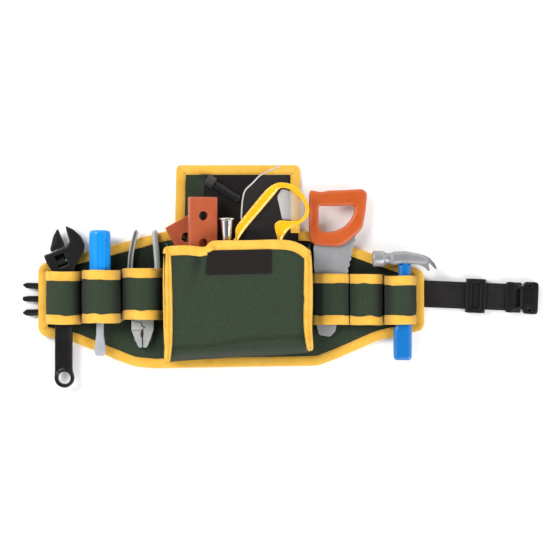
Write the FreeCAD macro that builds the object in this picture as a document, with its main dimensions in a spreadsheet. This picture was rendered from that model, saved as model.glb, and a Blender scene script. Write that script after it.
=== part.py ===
import FreeCAD, Part
import math
import os
import re

import Sketcher

# Toy tool belt lying flat on its back, flap folded open, with its toy tools in place.
# Frame: origin at the centre of the panel's back face, +X along the belt towards the
# webbing, +Y towards the flap, +Z away from the wearer.  Millimetres.

VECTOR = FreeCAD.Vector

# ---------------------------------------------------------------- driving dimensions

DIMENSIONS = {
    # fabrics and tapes
    "canvas": 0.8, "foam": 3.6, "tape_wide": 10.5, "tape_thick": 0.8, "soft_corner": 9,
    # back panel outline
    "panel_left": -231.6, "panel_right": 231.6, "panel_top": 82, "panel_base": -82,
    "panel_base_right": -77, "top_left_x": -79, "top_right_x": 95,
    "base_left_x": -97, "base_right_x": 116,
    "left_end_top": 40, "left_end_base": -42.6, "right_end_top": 33, "right_end_base": -35.4,
    # flap
    "flap_left": -67, "flap_right": 82, "flap_top": 161, "flap_fold": 84.4,
    "flap_low": 0.4, "flap_thick": 1.6, "flap_skew": 2,
    "hook_left": -16, "hook_right": 70, "hook_base": 92, "hook_top": 149, "tape_pile": 1,
    # pocket
    "pocket_left": -79.2, "pocket_right": 95.2, "pocket_front_z": 40,
    "pocket_base_left": -75, "pocket_base_right": -67, "mouth_left": 62, "mouth_low": 60,
    "mouth_high": 69, "mouth_right": 58, "step_left": -26, "step_right": -17,
    "mouth_bend": 74, "pocket_skin": 1.2, "edge_tape": 8, "edge_side": 10,
    "loop_tape_left": -30, "loop_tape_right": 49, "loop_tape_base": 30,
    # loop bands
    "band_top": 33, "band_base": -28, "band_skin": 1.2,
    "left_band_start": -224, "left_band_end": -80.4,
    "right_band_start": 96.4, "right_band_end": 223.8,
    "loop_shoulder": 7, "loop_lean": 0.6,
    "wrench_loop_left": -221.4, "wrench_loop_right": -182.6, "wrench_loop_tall": 16.4,
    "driver_loop_left": -177.8, "driver_loop_right": -134.2, "driver_loop_tall": 29.4,
    "pliers_loop_left": -129.8, "pliers_loop_right": -82.6, "pliers_loop_tall": 24.5,
    "saw_loop_left": 99.4, "saw_loop_right": 140.2, "saw_loop_tall": 10,
    "spare_loop_left": 144.6, "spare_loop_right": 181.4, "spare_loop_tall": 11,
    "hammer_loop_left": 186, "hammer_loop_right": 221.6, "hammer_loop_tall": 23,
    # strap, glide and buckle
    "strap_wide": 32, "strap_thick": 1.8, "strap_y": 6.8, "strap_tilt": -2.3,
    "strap_rise_start": 236, "strap_rise_end": 250, "strap_low": 2, "strap_high": 5.6,
    "strap_turn": 334.6, "strap_tail_end": 256, "strap_tail_z": 0.2,
    "glide_left": 282.8, "glide_right": 306.2, "glide_tall": 41, "glide_bar": 6.2,
    "buckle_left": 331.2, "buckle_right": 369.6, "buckle_tall": 36.5,
    "buckle_front_tall": 38.4, "buckle_thick": 10, "buckle_waist": 27,
    "waist_left": 349.2, "waist_right": 352.8,
    "male_y": 0.6, "prong_tip": -252, "prong_root": -233, "prong_wide": 7,
    "prong_pitch": 15.6, "male_end": -216.4, "recess_end": -196, "recess_tall": 39,
    "recess_deep": 4.4,
    # tools lie on the panel's binding
    "tool_z": 6.6,
    # adjustable wrench
    "wrench_x": -200.4, "wrench_wide": 24, "wrench_thick": 10, "wrench_end": -94.2,
    "wrench_hole": 7.6, "wrench_slot_angle": 21.8, "wrench_slot_gap": 4.6,
    "worm_long": 12, "worm_radius": 4.4, "worm_pin_radius": 1.5,
    # screwdriver
    "driver_x": -157, "driver_radius": 12.8, "driver_top": 84, "driver_base": -21,
    "blade_radius": 4.2, "driver_tip": -67.8, "driver_tip_wide": 13.5,
    # pliers
    "pliers_x": -106.4, "pliers_pivot_y": -12, "pliers_thick": 8, "pliers_gap": 0.3,
    "pliers_rivet": 3, "pliers_nose": -57.4, "pliers_head": 26.4,
    # saw
    "saw_left": 94, "saw_handle_thick": 11, "saw_blade_thick": 2.4,
    # hammer
    "hammer_x": 206.6, "hammer_axis_z": 16.8, "hammer_face": 9.9, "hammer_y": 49.4,
    # planks
    "plank_wide": 34, "plank_long": 110, "plank_hole": 5.6, "plank_pitch": 33,
    "front_plank_thick": 10, "rear_plank_thick": 6,
    # nail and bolt
    "nail_x": -4.6, "nail_head": 10.2, "nail_neck": 8, "nail_shank": 6, "nail_long": 94,
    "nail_top": 98.6, "nail_tilt": 5.5, "nail_z": 27.6,
    "bolt_flats": 12, "bolt_head_long": 11, "bolt_long": 50, "bolt_radius": 4.8,
    "bolt_angle": 33,
    # safety goggles
    "goggles_angle": 53, "goggles_x": 21.7, "goggles_y": 99.2, "goggles_z": 30.6,
    "lens_thick": 1.2, "frame_thick": 4, "brow_half": 45, "brow_wide": 10.8,
    "eye_tall": 54, "nose_edge": 31, "nose_wide": 12,
}

doc = FreeCAD.newDocument("toy_tool_belt")
sheet = doc.addObject("Spreadsheet::Sheet", "Dims")
nodes = {}


def fill_sheet():
    for row, (alias, number) in enumerate(DIMENSIONS.items(), start=1):
        sheet.set(f"A{row}", alias)
        sheet.set(f"B{row}", str(number))
        sheet.setAlias(f"B{row}", alias)
    doc.recompute()


# ---------------------------------------------------------------- small helpers

def bound(text):
    """Expression text with every alias pointed at the sheet."""
    return re.sub(r"[a-z_]+[a-z0-9_]*", lambda m: point_at_sheet(m.group(0)), str(text))


def point_at_sheet(word):
    return f"Dims.{word}" if word in DIMENSIONS else word


def value(text):
    result = sheet.evalExpression(bound(text))
    return float(getattr(result, "Value", result))


def drive(obj, prop, text):
    """Set a property now and bind it to the sheet."""
    obj.setExpression(prop, bound(text))


def new(kind, name):
    return doc.addObject(kind, name)


def finish_node(obj, label):
    obj.Label = label
    nodes[label] = obj
    return obj


def draw_edges(sketch, corners):
    """Edges corner to corner; a corner's 'via' makes the edge after it an arc."""
    spots = [VECTOR(value(c[0]), value(c[1]), 0) for c in corners]
    ends = []
    for index, corner in enumerate(corners):
        first = spots[index]
        last = spots[(index + 1) % len(corners)]
        extra = corner[2] if len(corner) > 2 else {}
        if "via" in extra:
            middle = VECTOR(value(extra["via"][0]), value(extra["via"][1]), 0)
            sketch.addGeometry(Part.Arc(first, middle, last))
        else:
            sketch.addGeometry(Part.LineSegment(first, last))
        forward = (sketch.getPoint(index, 1) - first).Length < 1e-4
        ends.append((1, 2) if forward else (2, 1))
    return spots, ends


def draw_outline(sketch, corners):
    """A closed outline whose corners are bound to the sheet, rounded where 'r' is given."""
    spots, ends = draw_edges(sketch, corners)
    count = len(corners)
    for index in range(count):
        after = (index + 1) % count
        joined = Sketcher.Constraint("Coincident", index, ends[index][1], after, ends[after][0])
        sketch.addConstraint(joined)
    for index, corner in enumerate(corners):
        for axis, place, text in (("DistanceX", spots[index].x, corner[0]),
                                  ("DistanceY", spots[index].y, corner[1])):
            lock = Sketcher.Constraint(axis, -1, 1, index, ends[index][0], place)
            number = sketch.addConstraint(lock)
            sketch.setExpression(f"Constraints[{number}]", bound(text))
    for index, corner in enumerate(corners):
        extra = corner[2] if len(corner) > 2 else {}
        if "r" in extra:
            sketch.fillet(index, ends[index][0], value(extra["r"]), True, True)


def rectangle(left, base, right, top, radius=None):
    """The four corners of a box outline, rounded when a radius is given."""
    extra = [{"r": radius}] if radius is not None else []
    return [tuple([x, y] + extra)
            for x, y in ((left, base), (right, base), (right, top), (left, top))]


def free_sketch(name, corners):
    sketch = new("Sketcher::SketchObject", name + "_outline")
    draw_outline(sketch, corners)
    return sketch


def wall_sketch(name, corners, at_y):
    """An outline in the X-Z plane at a height on Y."""
    sketch = free_sketch(name, corners)
    turn = FreeCAD.Rotation(VECTOR(1, 0, 0), 90)
    sketch.Placement = FreeCAD.Placement(VECTOR(0, value(at_y), 0), turn)
    return sketch


def offset(name, outline, distance):
    ring = new("Part::Offset2D", name + "_offset")
    ring.Source = outline
    ring.Value = value(distance)
    ring.Join = 2
    drive(ring, "Value", distance)
    return ring


def extrude(name, profile, length, low=0, along=VECTOR(0, 0, 1)):
    solid = new("Part::Extrusion", name)
    solid.Base = profile
    solid.DirMode = "Custom"
    solid.Dir = along
    solid.Solid = True
    drive(solid, "LengthFwd", length)
    if along.z:
        drive(solid, "Placement.Base.z", low)
    return solid


def prism(name, corners, low, high):
    return extrude(name, free_sketch(name, corners), f"({high}) - ({low})", low)


def block(name, left, right, base, top, low, high):
    """A box between six bound faces."""
    box = new("Part::Box", name)
    drive(box, "Length", f"({right}) - ({left})")
    drive(box, "Width", f"({top}) - ({base})")
    drive(box, "Height", f"({high}) - ({low})")
    drive(box, "Placement.Base.x", left)
    drive(box, "Placement.Base.y", base)
    drive(box, "Placement.Base.z", low)
    return box


def rod(name, radius, length, at, axis):
    """A cylinder from a point along an axis."""
    pin = new("Part::Cylinder", name)
    drive(pin, "Radius", radius)
    drive(pin, "Height", length)
    turn = FreeCAD.Rotation(VECTOR(0, 0, 1), axis)
    pin.Placement = FreeCAD.Placement(VECTOR(*[value(part) for part in at]), turn)
    return pin


def cut(name, base, *tools):
    result = base
    for number, tool in enumerate(tools, start=1):
        step = new("Part::Cut", f"{name}_cut{number}")
        step.Base = result
        step.Tool = tool
        result = step
    return result


def fuse(name, *shapes):
    joined = new("Part::MultiFuse", name + "_joined")
    joined.Shapes = list(shapes)
    joined.Refine = True
    return joined


def body_sketch(body, name, corners, height=None):
    """A sketch on the body's own X-Y plane, lifted to a height when one is given."""
    sketch = body.newObject("Sketcher::SketchObject", name)
    plane = [f for f in body.Origin.OriginFeatures if f.Role == "XY_Plane"][0]
    sketch.AttachmentSupport = [(plane, "")]
    sketch.MapMode = "FlatFace"
    if height is not None:
        drive(sketch, "AttachmentOffset.Base.z", height)
    draw_outline(sketch, corners)
    return sketch


def pad(body, name, corners, length, height=None):
    feature = body.newObject("PartDesign::Pad", name)
    feature.Profile = body_sketch(body, name + "_sketch", corners, height)
    drive(feature, "Length", length)
    doc.recompute()
    return feature


def pocket(body, name, corners):
    """A through cut; its volume is compared, because a cut that misses shows no error."""
    before = body.Shape.Volume
    feature = body.newObject("PartDesign::Pocket", name)
    feature.Profile = body_sketch(body, name + "_sketch", corners)
    feature.Type = "ThroughAll"
    feature.Midplane = True
    doc.recompute()
    if body.Shape.Volume > before - 0.01:
        raise RuntimeError(f"{name} cuts nothing")
    return feature


def circle_pocket(body, name, x, y, radius):
    """A round through hole with its centre and radius bound."""
    before = body.Shape.Volume
    sketch = body_sketch(body, name + "_sketch", [])
    centre = VECTOR(value(x), value(y), 0)
    sketch.addGeometry(Part.Circle(centre, VECTOR(0, 0, 1), value(radius)))
    locks = ((Sketcher.Constraint("DistanceX", -1, 1, 0, 3, centre.x), x),
             (Sketcher.Constraint("DistanceY", -1, 1, 0, 3, centre.y), y),
             (Sketcher.Constraint("Radius", 0, value(radius)), radius))
    for lock, text in locks:
        number = sketch.addConstraint(lock)
        sketch.setExpression(f"Constraints[{number}]", bound(text))
    feature = body.newObject("PartDesign::Pocket", name)
    feature.Profile = sketch
    feature.Type = "ThroughAll"
    feature.Midplane = True
    doc.recompute()
    if body.Shape.Volume > before - 0.01:
        raise RuntimeError(f"{name} cuts nothing")
    return feature


def revolve(body, name, corners):
    """A turned solid about the sketch's upright axis."""
    feature = body.newObject("PartDesign::Revolution", name)
    sketch = body_sketch(body, name + "_sketch", corners)
    feature.Profile = sketch
    feature.ReferenceAxis = (sketch, ["V_Axis"])
    feature.Angle = 360
    doc.recompute()
    return feature


def round_rim_edges(body, name, radius):
    """Fillet the edges round the flat top and bottom faces."""
    base = body.Tip
    rim = []
    for number, edge in enumerate(base.Shape.Edges, start=1):
        if abs(edge.tangentAt(edge.FirstParameter).z) < 0.01:
            rim.append(f"Edge{number}")
    feature = body.newObject("PartDesign::Fillet", name)
    feature.Base = (base, rim)
    drive(feature, "Radius", radius)
    doc.recompute()
    return feature


def place(obj, x, y, z, turn=None):
    """Place an object with bound coordinates and an optional fixed turn."""
    if turn is not None:
        obj.Placement = FreeCAD.Placement(VECTOR(0, 0, 0), turn)
    drive(obj, "Placement.Base.x", x)
    drive(obj, "Placement.Base.y", y)
    drive(obj, "Placement.Base.z", z)


# ---------------------------------------------------------------- back panel

def panel_outline(name):
    corners = (("panel_left", "left_end_top"), ("panel_left", "left_end_base"),
               ("base_left_x", "panel_base"), ("base_right_x", "panel_base_right"),
               ("panel_right", "right_end_base"), ("panel_right", "right_end_top"),
               ("top_right_x", "panel_top"), ("top_left_x", "panel_top"))
    return free_sketch(name, [(x, y, {"r": "soft_corner"}) for x, y in corners])


def buckle_recess(name):
    """The hollow under the front canvas where the male buckle's base lies."""
    return block(name, "panel_left - 1", "recess_end", "male_y - recess_tall / 2",
                 "male_y + recess_tall / 2", "-1", "recess_deep")


def make_panel():
    outline = panel_outline("panel")
    inside = offset("panel_layers", outline, "-tape_thick")
    framed = offset("panel_framed", outline, "-tape_wide")
    foam_top = "tape_thick + foam"
    front = "tape_thick + foam + canvas"
    lining = extrude("lining_plate", framed, "tape_thick")
    foam = extrude("foam_plate", inside, "foam", "tape_thick")
    canvas = extrude("canvas_plate", inside, "canvas", foam_top)
    ring = extrude("panel_ring", outline, f"{front} + tape_thick")
    slot = extrude("panel_ring_slot", inside, "foam + canvas", "tape_thick")
    hole = extrude("panel_ring_hole", framed, "20", "-5")
    finish_node(cut("lining", lining, buckle_recess("lining_recess")), "panel_lining")
    finish_node(cut("foam", foam, buckle_recess("foam_recess")), "panel_foam")
    finish_node(canvas, "panel_canvas")
    binding = cut("panel_binding", ring, slot, hole, buckle_recess("binding_recess"))
    finish_node(binding, "panel_binding")


# ---------------------------------------------------------------- flap

def flap_corners(inset):
    """The flap's outline, narrower at its far left corner."""
    return [(f"flap_left + {inset}", "flap_fold"), (f"flap_right - {inset}", "flap_fold"),
            (f"flap_right - {inset}", f"flap_top - {inset}", {"r": 5}),
            (f"flap_left + flap_skew + {inset}", f"flap_top - {inset}", {"r": 5})]


def flap_window():
    return [("flap_left + tape_wide", "flap_fold - 5"),
            ("flap_right - tape_wide", "flap_fold - 5"),
            ("flap_right - tape_wide", "flap_top - tape_wide"),
            ("flap_left + flap_skew + tape_wide", "flap_top - tape_wide")]


def make_flap():
    skin_low = "flap_low + tape_thick"
    skin_top = "flap_low + tape_thick + flap_thick"
    canvas = prism("flap_skin", flap_corners("tape_thick"), skin_low, skin_top)
    finish_node(canvas, "flap_canvas")
    ring = prism("flap_ring", flap_corners("0"), "flap_low", f"{skin_top} + tape_thick")
    slot = prism("flap_slot", flap_corners("tape_thick"), skin_low, skin_top)
    window = prism("flap_window", flap_window(), "-5", "20")
    finish_node(cut("flap_binding", ring, slot, window), "flap_binding")
    tape = block("hook_tape", "hook_left", "hook_right", "hook_base", "hook_top",
                 skin_top, f"{skin_top} + tape_pile")
    finish_node(tape, "flap_hook_tape")
    panel_front = "tape_thick * 2 + foam + canvas"
    strip = block("hinge_strip", "flap_left + 1", "flap_right - 1", "flap_fold - 14",
                  "flap_fold - 2.2", panel_front, f"{panel_front} + canvas")
    finish_node(strip, "flap_hinge_strip")


# ---------------------------------------------------------------- pocket

def mouth_line(rise):
    """The stepped top edge from right to left, raised by an amount."""
    return [("pocket_right", f"mouth_right + {rise}"), ("mouth_bend", f"mouth_high + {rise}"),
            ("step_right", f"mouth_high + {rise}"), ("step_left", f"mouth_low + {rise}"),
            ("pocket_left", f"mouth_left + {rise}")]


def make_pocket():
    canvas_top = "tape_thick + foam + canvas"
    behind = "pocket_front_z - pocket_skin"
    face = [("pocket_left", "pocket_base_left"), ("pocket_right", "pocket_base_right")]
    front = prism("pocket_face", face + mouth_line("0"), behind, "pocket_front_z")
    floor_strip = [("pocket_left", "pocket_base_left"), ("pocket_right", "pocket_base_right"),
                   ("pocket_right", "pocket_base_right + pocket_skin"),
                   ("pocket_left", "pocket_base_left + pocket_skin")]
    bottom = prism("pocket_bottom", floor_strip, canvas_top, f"{behind} + 0.1")
    finish_node(fuse("pocket_front", front, bottom), "pocket_front")

    left = block("gusset_left", "pocket_left", "pocket_left + pocket_skin",
                 "pocket_base_left + pocket_skin + 0.1", "mouth_left - 1", canvas_top, behind)
    finish_node(left, "pocket_gusset_left")
    right = block("gusset_right", "pocket_right - pocket_skin", "pocket_right",
                  "pocket_base_right + pocket_skin + 0.1", "mouth_right - 1", canvas_top, behind)
    finish_node(right, "pocket_gusset_right")

    band = mouth_line("tape_thick") + list(reversed(mouth_line("-tape_wide")))
    over = prism("mouth_cover", band, "pocket_front_z - pocket_skin - tape_thick",
                 "pocket_front_z + tape_thick")
    lower = prism("mouth_cover_clear", face + mouth_line("0"), behind, "pocket_front_z")
    sides = [block("mouth_gusset_clear_left", "pocket_left - 1", "pocket_left + pocket_skin",
                   "-90", "mouth_left - 0.9", "0", behind),
             block("mouth_gusset_clear_right", "pocket_right - pocket_skin",
                   "pocket_right + 1", "-90", "mouth_right - 0.9", "0", behind)]
    finish_node(cut("mouth_binding", over, lower, *sides), "pocket_mouth_binding")
    make_pocket_edges()
    tape = block("loop_tape", "loop_tape_left", "loop_tape_right", "loop_tape_base",
                 "mouth_high - tape_wide - 0.3", "pocket_front_z",
                 "pocket_front_z + tape_pile")
    clear = prism("loop_tape_clear", band, "pocket_front_z - 1", "pocket_front_z + 5")
    finish_node(cut("loop_tape_trim", tape, clear), "pocket_loop_tape")


def make_pocket_edges():
    """Tapes folded over the two upright front corners."""
    top = "pocket_front_z + tape_thick"
    sides = (("left", "pocket_left - tape_thick", "pocket_left + edge_tape", "pocket_left",
              "pocket_right", "pocket_base_left + 0.5", "mouth_low - tape_wide - 2.5"),
             ("right", "pocket_right - edge_tape", "pocket_right + tape_thick", "pocket_left",
              "pocket_right", "pocket_base_right + 0.5", "mouth_right - tape_wide - 1"))
    for side, start, end, inner_start, inner_end, base, upper in sides:
        outer = block(f"edge_{side}", start, end, base, upper, "pocket_front_z - edge_side", top)
        core = block(f"edge_{side}_core", inner_start, inner_end, "-100", "100",
                     "0", "pocket_front_z")
        finish_node(cut(f"edge_{side}", outer, core), f"pocket_edge_binding_{side}")


# ---------------------------------------------------------------- loop bands

def arch_corners(loop, out):
    """One loop's arch from its left foot to its right foot, grown outwards by 'out'."""
    left = f"{loop}_loop_left - {out}"
    right = f"{loop}_loop_right + {out}"
    middle = f"({loop}_loop_left + {loop}_loop_right) / 2"
    crown = f"{loop}_loop_tall + {out}"
    return [(left, out), (f"{left} + loop_lean", "loop_shoulder", {"via": (middle, crown)}),
            (f"{right} - loop_lean", "loop_shoulder"), (right, out)]


def turned_back(corners):
    """The same arch walked the other way, with its arc on the right corner."""
    arc = corners[1][2]
    return [corners[3][:2], corners[2][:2] + (arc,), corners[1][:2], corners[0][:2]]


def band_profile(side, loops, inner, outer, start_y):
    """The looped band's section between two heights over its own inside face."""
    start = f"{side}_band_start"
    end = f"{side}_band_end"
    corners = [(start, inner), (start, outer)]
    for loop in loops:
        corners += arch_corners(loop, outer)
    corners += [(end, outer), (end, inner)]
    for loop in reversed(loops):
        corners += turned_back(arch_corners(loop, inner))
    return wall_sketch(f"{side}_band_section", corners, start_y)


def band_solid(side, loops, inner, outer, top, tall):
    """The band's section pushed towards -Y and lifted on to the panel's canvas."""
    section = band_profile(side, loops, inner, outer, top)
    solid = extrude(f"{side}_band_solid", section, tall, along=VECTOR(0, -1, 0))
    drive(solid, "Placement.Base.z", "tape_thick + foam + canvas")
    return solid


def make_band(side, loops):
    cloth_tall = "band_top - band_base - 2 * tape_thick"
    cloth = band_solid(side, loops, "0", "band_skin", "band_top - tape_thick", cloth_tall)
    finish_node(cloth, f"{side}_loop_band")
    for edge, start in (("top", "band_top"), ("bottom", "band_base + tape_wide")):
        tape = band_solid(side, loops, "band_skin", "(band_skin + tape_thick)", start, "tape_wide")
        finish_node(tape, f"{side}_band_binding_{edge}")


# ---------------------------------------------------------------- strap and buckles

def swing_with_strap(obj):
    """Turn a strap piece with the strap's droop about the strap's root."""
    root = VECTOR(value("panel_right"), value("strap_y"), 0)
    tilt = FreeCAD.Placement(VECTOR(0, 0, 0), FreeCAD.Rotation(value("strap_tilt"), 0, 0), root)
    shift = FreeCAD.Placement(VECTOR(0, value("strap_y"), 0), FreeCAD.Rotation())
    obj.Placement = tilt.multiply(shift).multiply(obj.Placement)


def make_strap():
    """The main layer, the turn round the buckle's bar and the tail below, in one profile."""
    low = "strap_low"
    high = "strap_high"
    tail = "strap_tail_z"
    inner_top = high
    inner_base = f"{tail} + strap_thick"
    corners = [("panel_right + 0.05", low), ("panel_right - 0.6", f"{low} + strap_thick"),
               ("strap_rise_start", f"{low} + strap_thick"),
               ("strap_rise_end", f"{high} + strap_thick"),
               ("strap_turn", f"{high} + strap_thick",
                {"via": ("strap_turn + 3.6", "3.8")}),
               ("strap_turn", tail), ("strap_tail_end", tail),
               ("strap_tail_end", inner_base),
               ("strap_turn", inner_base, {"via": ("strap_turn + 1.8", "3.8")}),
               ("strap_turn", inner_top), ("strap_rise_end", high),
               ("strap_rise_start", low)]
    profile = wall_sketch("strap", corners, "strap_wide / 2")
    strap = extrude("strap_solid", profile, "strap_wide", along=VECTOR(0, -1, 0))
    swing_with_strap(strap)
    finish_node(strap, "webbing_right")


def make_glide():
    """Two side rails, outer bars over the strap and a middle bar under it."""
    half = "glide_tall / 2"
    window = "strap_wide / 2 + 0.6"
    over_low = "strap_high + strap_thick + 0.3"
    under_low = "strap_tail_z + strap_thick + 0.3"
    under_high = "strap_high - 0.3"
    top = f"{over_low} + 1.6"
    pieces = []
    for number, (base, upper) in enumerate(((f"-{half}", f"-({window})"), (window, half))):
        pieces.append(block(f"glide_rail{number}", "glide_left", "glide_right", base, upper,
                            under_low, top))
    bars = (("glide_left", "glide_left + glide_bar"), ("glide_right - glide_bar", "glide_right"))
    for number, (left, right) in enumerate(bars):
        pieces.append(block(f"glide_bar{number}", left, right, f"-({window} + 0.1)",
                            f"{window} + 0.1", over_low, top))
    middle = "(glide_left + glide_right) / 2"
    pieces.append(block("glide_middle", f"{middle} - 2.5", f"{middle} + 2.5",
                        f"-({window} + 0.1)", f"{window} + 0.1", under_low, under_high))
    glide = fuse("glide", *pieces)
    swing_with_strap(glide)
    finish_node(glide, "tri_glide")


def make_female_buckle():
    half = "buckle_tall / 2"
    front = "buckle_front_tall / 2"
    waist = "buckle_waist / 2"
    corners = [("buckle_left", f"-{half}", {"r": 2.5}), ("waist_left", f"-{half}", {"r": 1.5}),
               ("waist_left", f"-{waist}"), ("waist_right", f"-{waist}"),
               ("waist_right", f"-{front}", {"r": 2.5}), ("buckle_right", f"-{front}", {"r": 3}),
               ("buckle_right", front, {"r": 3}), ("waist_right", front, {"r": 2.5}),
               ("waist_right", waist), ("waist_left", waist),
               ("waist_left", half, {"r": 1.5}), ("buckle_left", half, {"r": 2.5})]
    solid = prism("buckle_solid", corners, "0", "buckle_thick")
    inner = "strap_wide / 2 + 0.5"
    cuts = [block("bar_room_top", "buckle_left - 1", "buckle_left + 4.2", f"-({inner})", inner,
                  "strap_high - 0.4", "20"),
            block("bar_room_base", "buckle_left - 1", "buckle_left + 4.2", f"-({inner})", inner,
                  "-1", "strap_tail_z + strap_thick + 0.4"),
            block("strap_slot", "buckle_left + 4", "buckle_left + 8.6", f"-({inner})", inner,
                  "-1", "20"),
            block("waist_window", "buckle_left + 11.4", "waist_left - 0.8", "-12", "12",
                  "-1", "20"),
            block("socket", "waist_left - 1.2", "buckle_right + 1", "-11.6", "11.6",
                  "2", "buckle_thick - 2"),
            block("socket_sides", "waist_right + 1.4", "buckle_right + 1", "-16.6", "16.6",
                  "2", "buckle_thick - 2"),
            block("latch_gap_low", "waist_right + 3.4", "waist_right + 9", "-20", "-13.4",
                  "2", "buckle_thick - 2"),
            block("latch_gap_high", "waist_right + 3.4", "waist_right + 9", "13.4", "20",
                  "2", "buckle_thick - 2"),
            block("latch_eye_low", "waist_right + 5", "waist_right + 9", "-16.6", "-13.4",
                  "5", "20"),
            block("latch_eye_high", "waist_right + 5", "waist_right + 9", "13.4", "16.6",
                  "5", "20")]
    buckle = cut("buckle_female", solid, *cuts)
    swing_with_strap(buckle)
    finish_node(buckle, "buckle_female")


def make_male_buckle():
    """Base bars in the panel's recess and three prongs past the panel's end."""
    root = "prong_root"
    low = "0.3"
    half = "prong_wide / 2"
    base = block("male_base", root, "prong_root + 6.4", "male_y - 18", "male_y + 18", low, "4.1")
    bar = block("male_bar", "male_end - 2.6", "male_end", "male_y - 18", "male_y + 18",
                "1.75", "2.85")
    pieces = [base, bar]
    for side in ("-", "+"):
        edge = f"male_y {side} 18"
        inner = f"male_y {side} 16.6"
        ends = (edge, inner) if side == "-" else (inner, edge)
        pieces.append(block("male_rail", "prong_root + 6", "male_end", ends[0], ends[1],
                            low, "4.1"))
    tip = "prong_tip"
    for step in (-1, 0, 1):
        middle = f"male_y + {step} * prong_pitch"
        lean = f"{step} * 1.6"
        corners = [(f"{root} + 0.5", f"{middle} - {half}"), (f"{root} + 0.5", f"{middle} + {half}"),
                   (f"{root} - 8", f"{middle} + {half} + {lean}"),
                   (tip, f"{middle} + {half} - 0.6", {"r": 2}),
                   (tip, f"{middle} - {half} + 0.6", {"r": 2}),
                   (f"{root} - 8", f"{middle} - {half} + {lean}")]
        pieces.append(prism(f"prong{step + 1}", corners, low, "5.1"))
    clear = block("male_clear", "panel_left - 0.5", "recess_end", "-30", "30",
                  "recess_deep - 0.2", "9")
    finish_node(cut("male_trim", fuse("male", *pieces), clear), "buckle_male")

    thick = 1.4
    bar_left = "male_end - 2.9"
    corners = [("recess_end - 0.2", "0.2"), (bar_left, "0.2"), (bar_left, "4.3"),
               ("male_end + 12", "4.3"), ("male_end + 12", f"4.3 - {thick}"),
               (f"{bar_left} + 0.2", f"4.3 - {thick}"), (f"{bar_left} + 0.2", f"0.2 + {thick}"),
               ("recess_end - 0.2", f"0.2 + {thick}")]
    profile = wall_sketch("left_webbing", corners, "male_y + strap_wide / 2")
    webbing = extrude("left_webbing_solid", profile, "strap_wide", along=VECTOR(0, -1, 0))
    finish_node(webbing, "webbing_left")


def trim_panel_binding():
    """The binding is sewn round everything that starts in the panel's edge."""
    whole = nodes["panel_binding"]
    whole.Label = "panel_binding_whole"
    sewn = ["pocket_front", "pocket_gusset_left", "pocket_gusset_right", "left_loop_band",
            "left_band_binding_top", "left_band_binding_bottom", "right_loop_band",
            "right_band_binding_top", "right_band_binding_bottom", "webbing_right"]
    trimmed = cut("panel_binding_trim", whole, *[nodes[label] for label in sewn])
    finish_node(trimmed, "panel_binding")


# ---------------------------------------------------------------- adjustable wrench

def on_slot(along, depth):
    """A spot measured along the jaw's slot from the head's left corner, and into the body."""
    turn = "wrench_slot_angle"
    return (f"-225 + ({along}) * cos({turn}) + ({depth}) * sin({turn})",
            f"52.7 + ({along}) * sin({turn}) - ({depth}) * cos({turn})")


def slot_block(name, along, depth, low, high):
    """A box whose sides follow the jaw's slot."""
    corners = [on_slot(along[0], depth[1]), on_slot(along[1], depth[1]),
               on_slot(along[1], depth[0]), on_slot(along[0], depth[0])]
    return prism(name, corners, low, high)


def make_wrench():
    left = "wrench_x - wrench_wide / 2"
    right = "wrench_x + wrench_wide / 2"
    corners = [(-199.1, 88.5, {"via": (-182.2, 77.6)}), (-176.9, 63.2, {"via": (-179.7, 52)}),
               (right, 36), (right, "wrench_end",
                             {"via": ("wrench_x", "wrench_end - wrench_wide / 2")}),
               (left, "wrench_end"), (left, 30, {"r": 4}), (-225, 52.7, {"r": 1.2}),
               on_slot("28.2", "0"), (-193.2, 71.3), (-199.4, 86.1)]
    body = new("PartDesign::Body", "wrench_blank")
    pad(body, "wrench_pad", corners, "wrench_thick")
    circle_pocket(body, "hang_hole", "wrench_x", "wrench_end", "wrench_hole")
    place(body, "0", "0", "tool_z")
    middle = "tool_z + wrench_thick / 2"
    slot_low = f"{middle} - wrench_slot_gap / 2"
    slot_high = f"{middle} + wrench_slot_gap / 2"
    window = slot_block("worm_window", ("9.4", "23"), ("8.7", "21.2"), "0", "30")
    slot = slot_block("jaw_slot", ("-2", "26"), ("-1", "9"), slot_low, slot_high)
    blank = cut("wrench_body", body, window, slot)
    turn = value("wrench_slot_angle")
    direction = VECTOR(math.cos(math.radians(turn)), math.sin(math.radians(turn)), 0)
    start = on_slot("9.3", "14.9")
    pin = rod("pin", "worm_pin_radius", "13.8", (start[0], start[1], middle), direction)
    pin_clear = rod("pin_clear", "worm_pin_radius", "13.8", (start[0], start[1], middle), direction)
    finish_node(cut("wrench_body_pin", blank, pin_clear), "wrench_body")
    finish_node(pin, "wrench_worm_pin")

    start = on_slot("10.2", "14.9")
    worm = rod("worm_round", "worm_radius", "worm_long", (start[0], start[1], middle), direction)
    bore = rod("worm_bore", "worm_pin_radius + 0.06", "20",
               (on_slot("7", "14.9")[0], on_slot("7", "14.9")[1], middle), direction)
    finish_node(cut("worm", worm, bore), "wrench_worm")

    face = on_slot("26.6", "-0.3")
    heel = on_slot("9", "-0.3")
    jaw = prism("jaw_blade", [heel, face, (-208.7, 85.5, {"via": (-214.9, 70.5)})],
                "tool_z + 0.4", "tool_z + wrench_thick - 0.4")
    tongue = slot_block("jaw_tongue", ("9.4", "22"), ("-0.6", "8.4"),
                        f"{slot_low} + 0.3", f"{slot_high} - 0.3")
    worm_room = rod("worm_room", "worm_radius + 0.4", "40",
                    (on_slot("-6", "14.9")[0], on_slot("-6", "14.9")[1], middle), direction)
    finish_node(cut("wrench_jaw", fuse("jaw", jaw, tongue), worm_room), "wrench_jaw")


# ---------------------------------------------------------------- screwdriver

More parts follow.
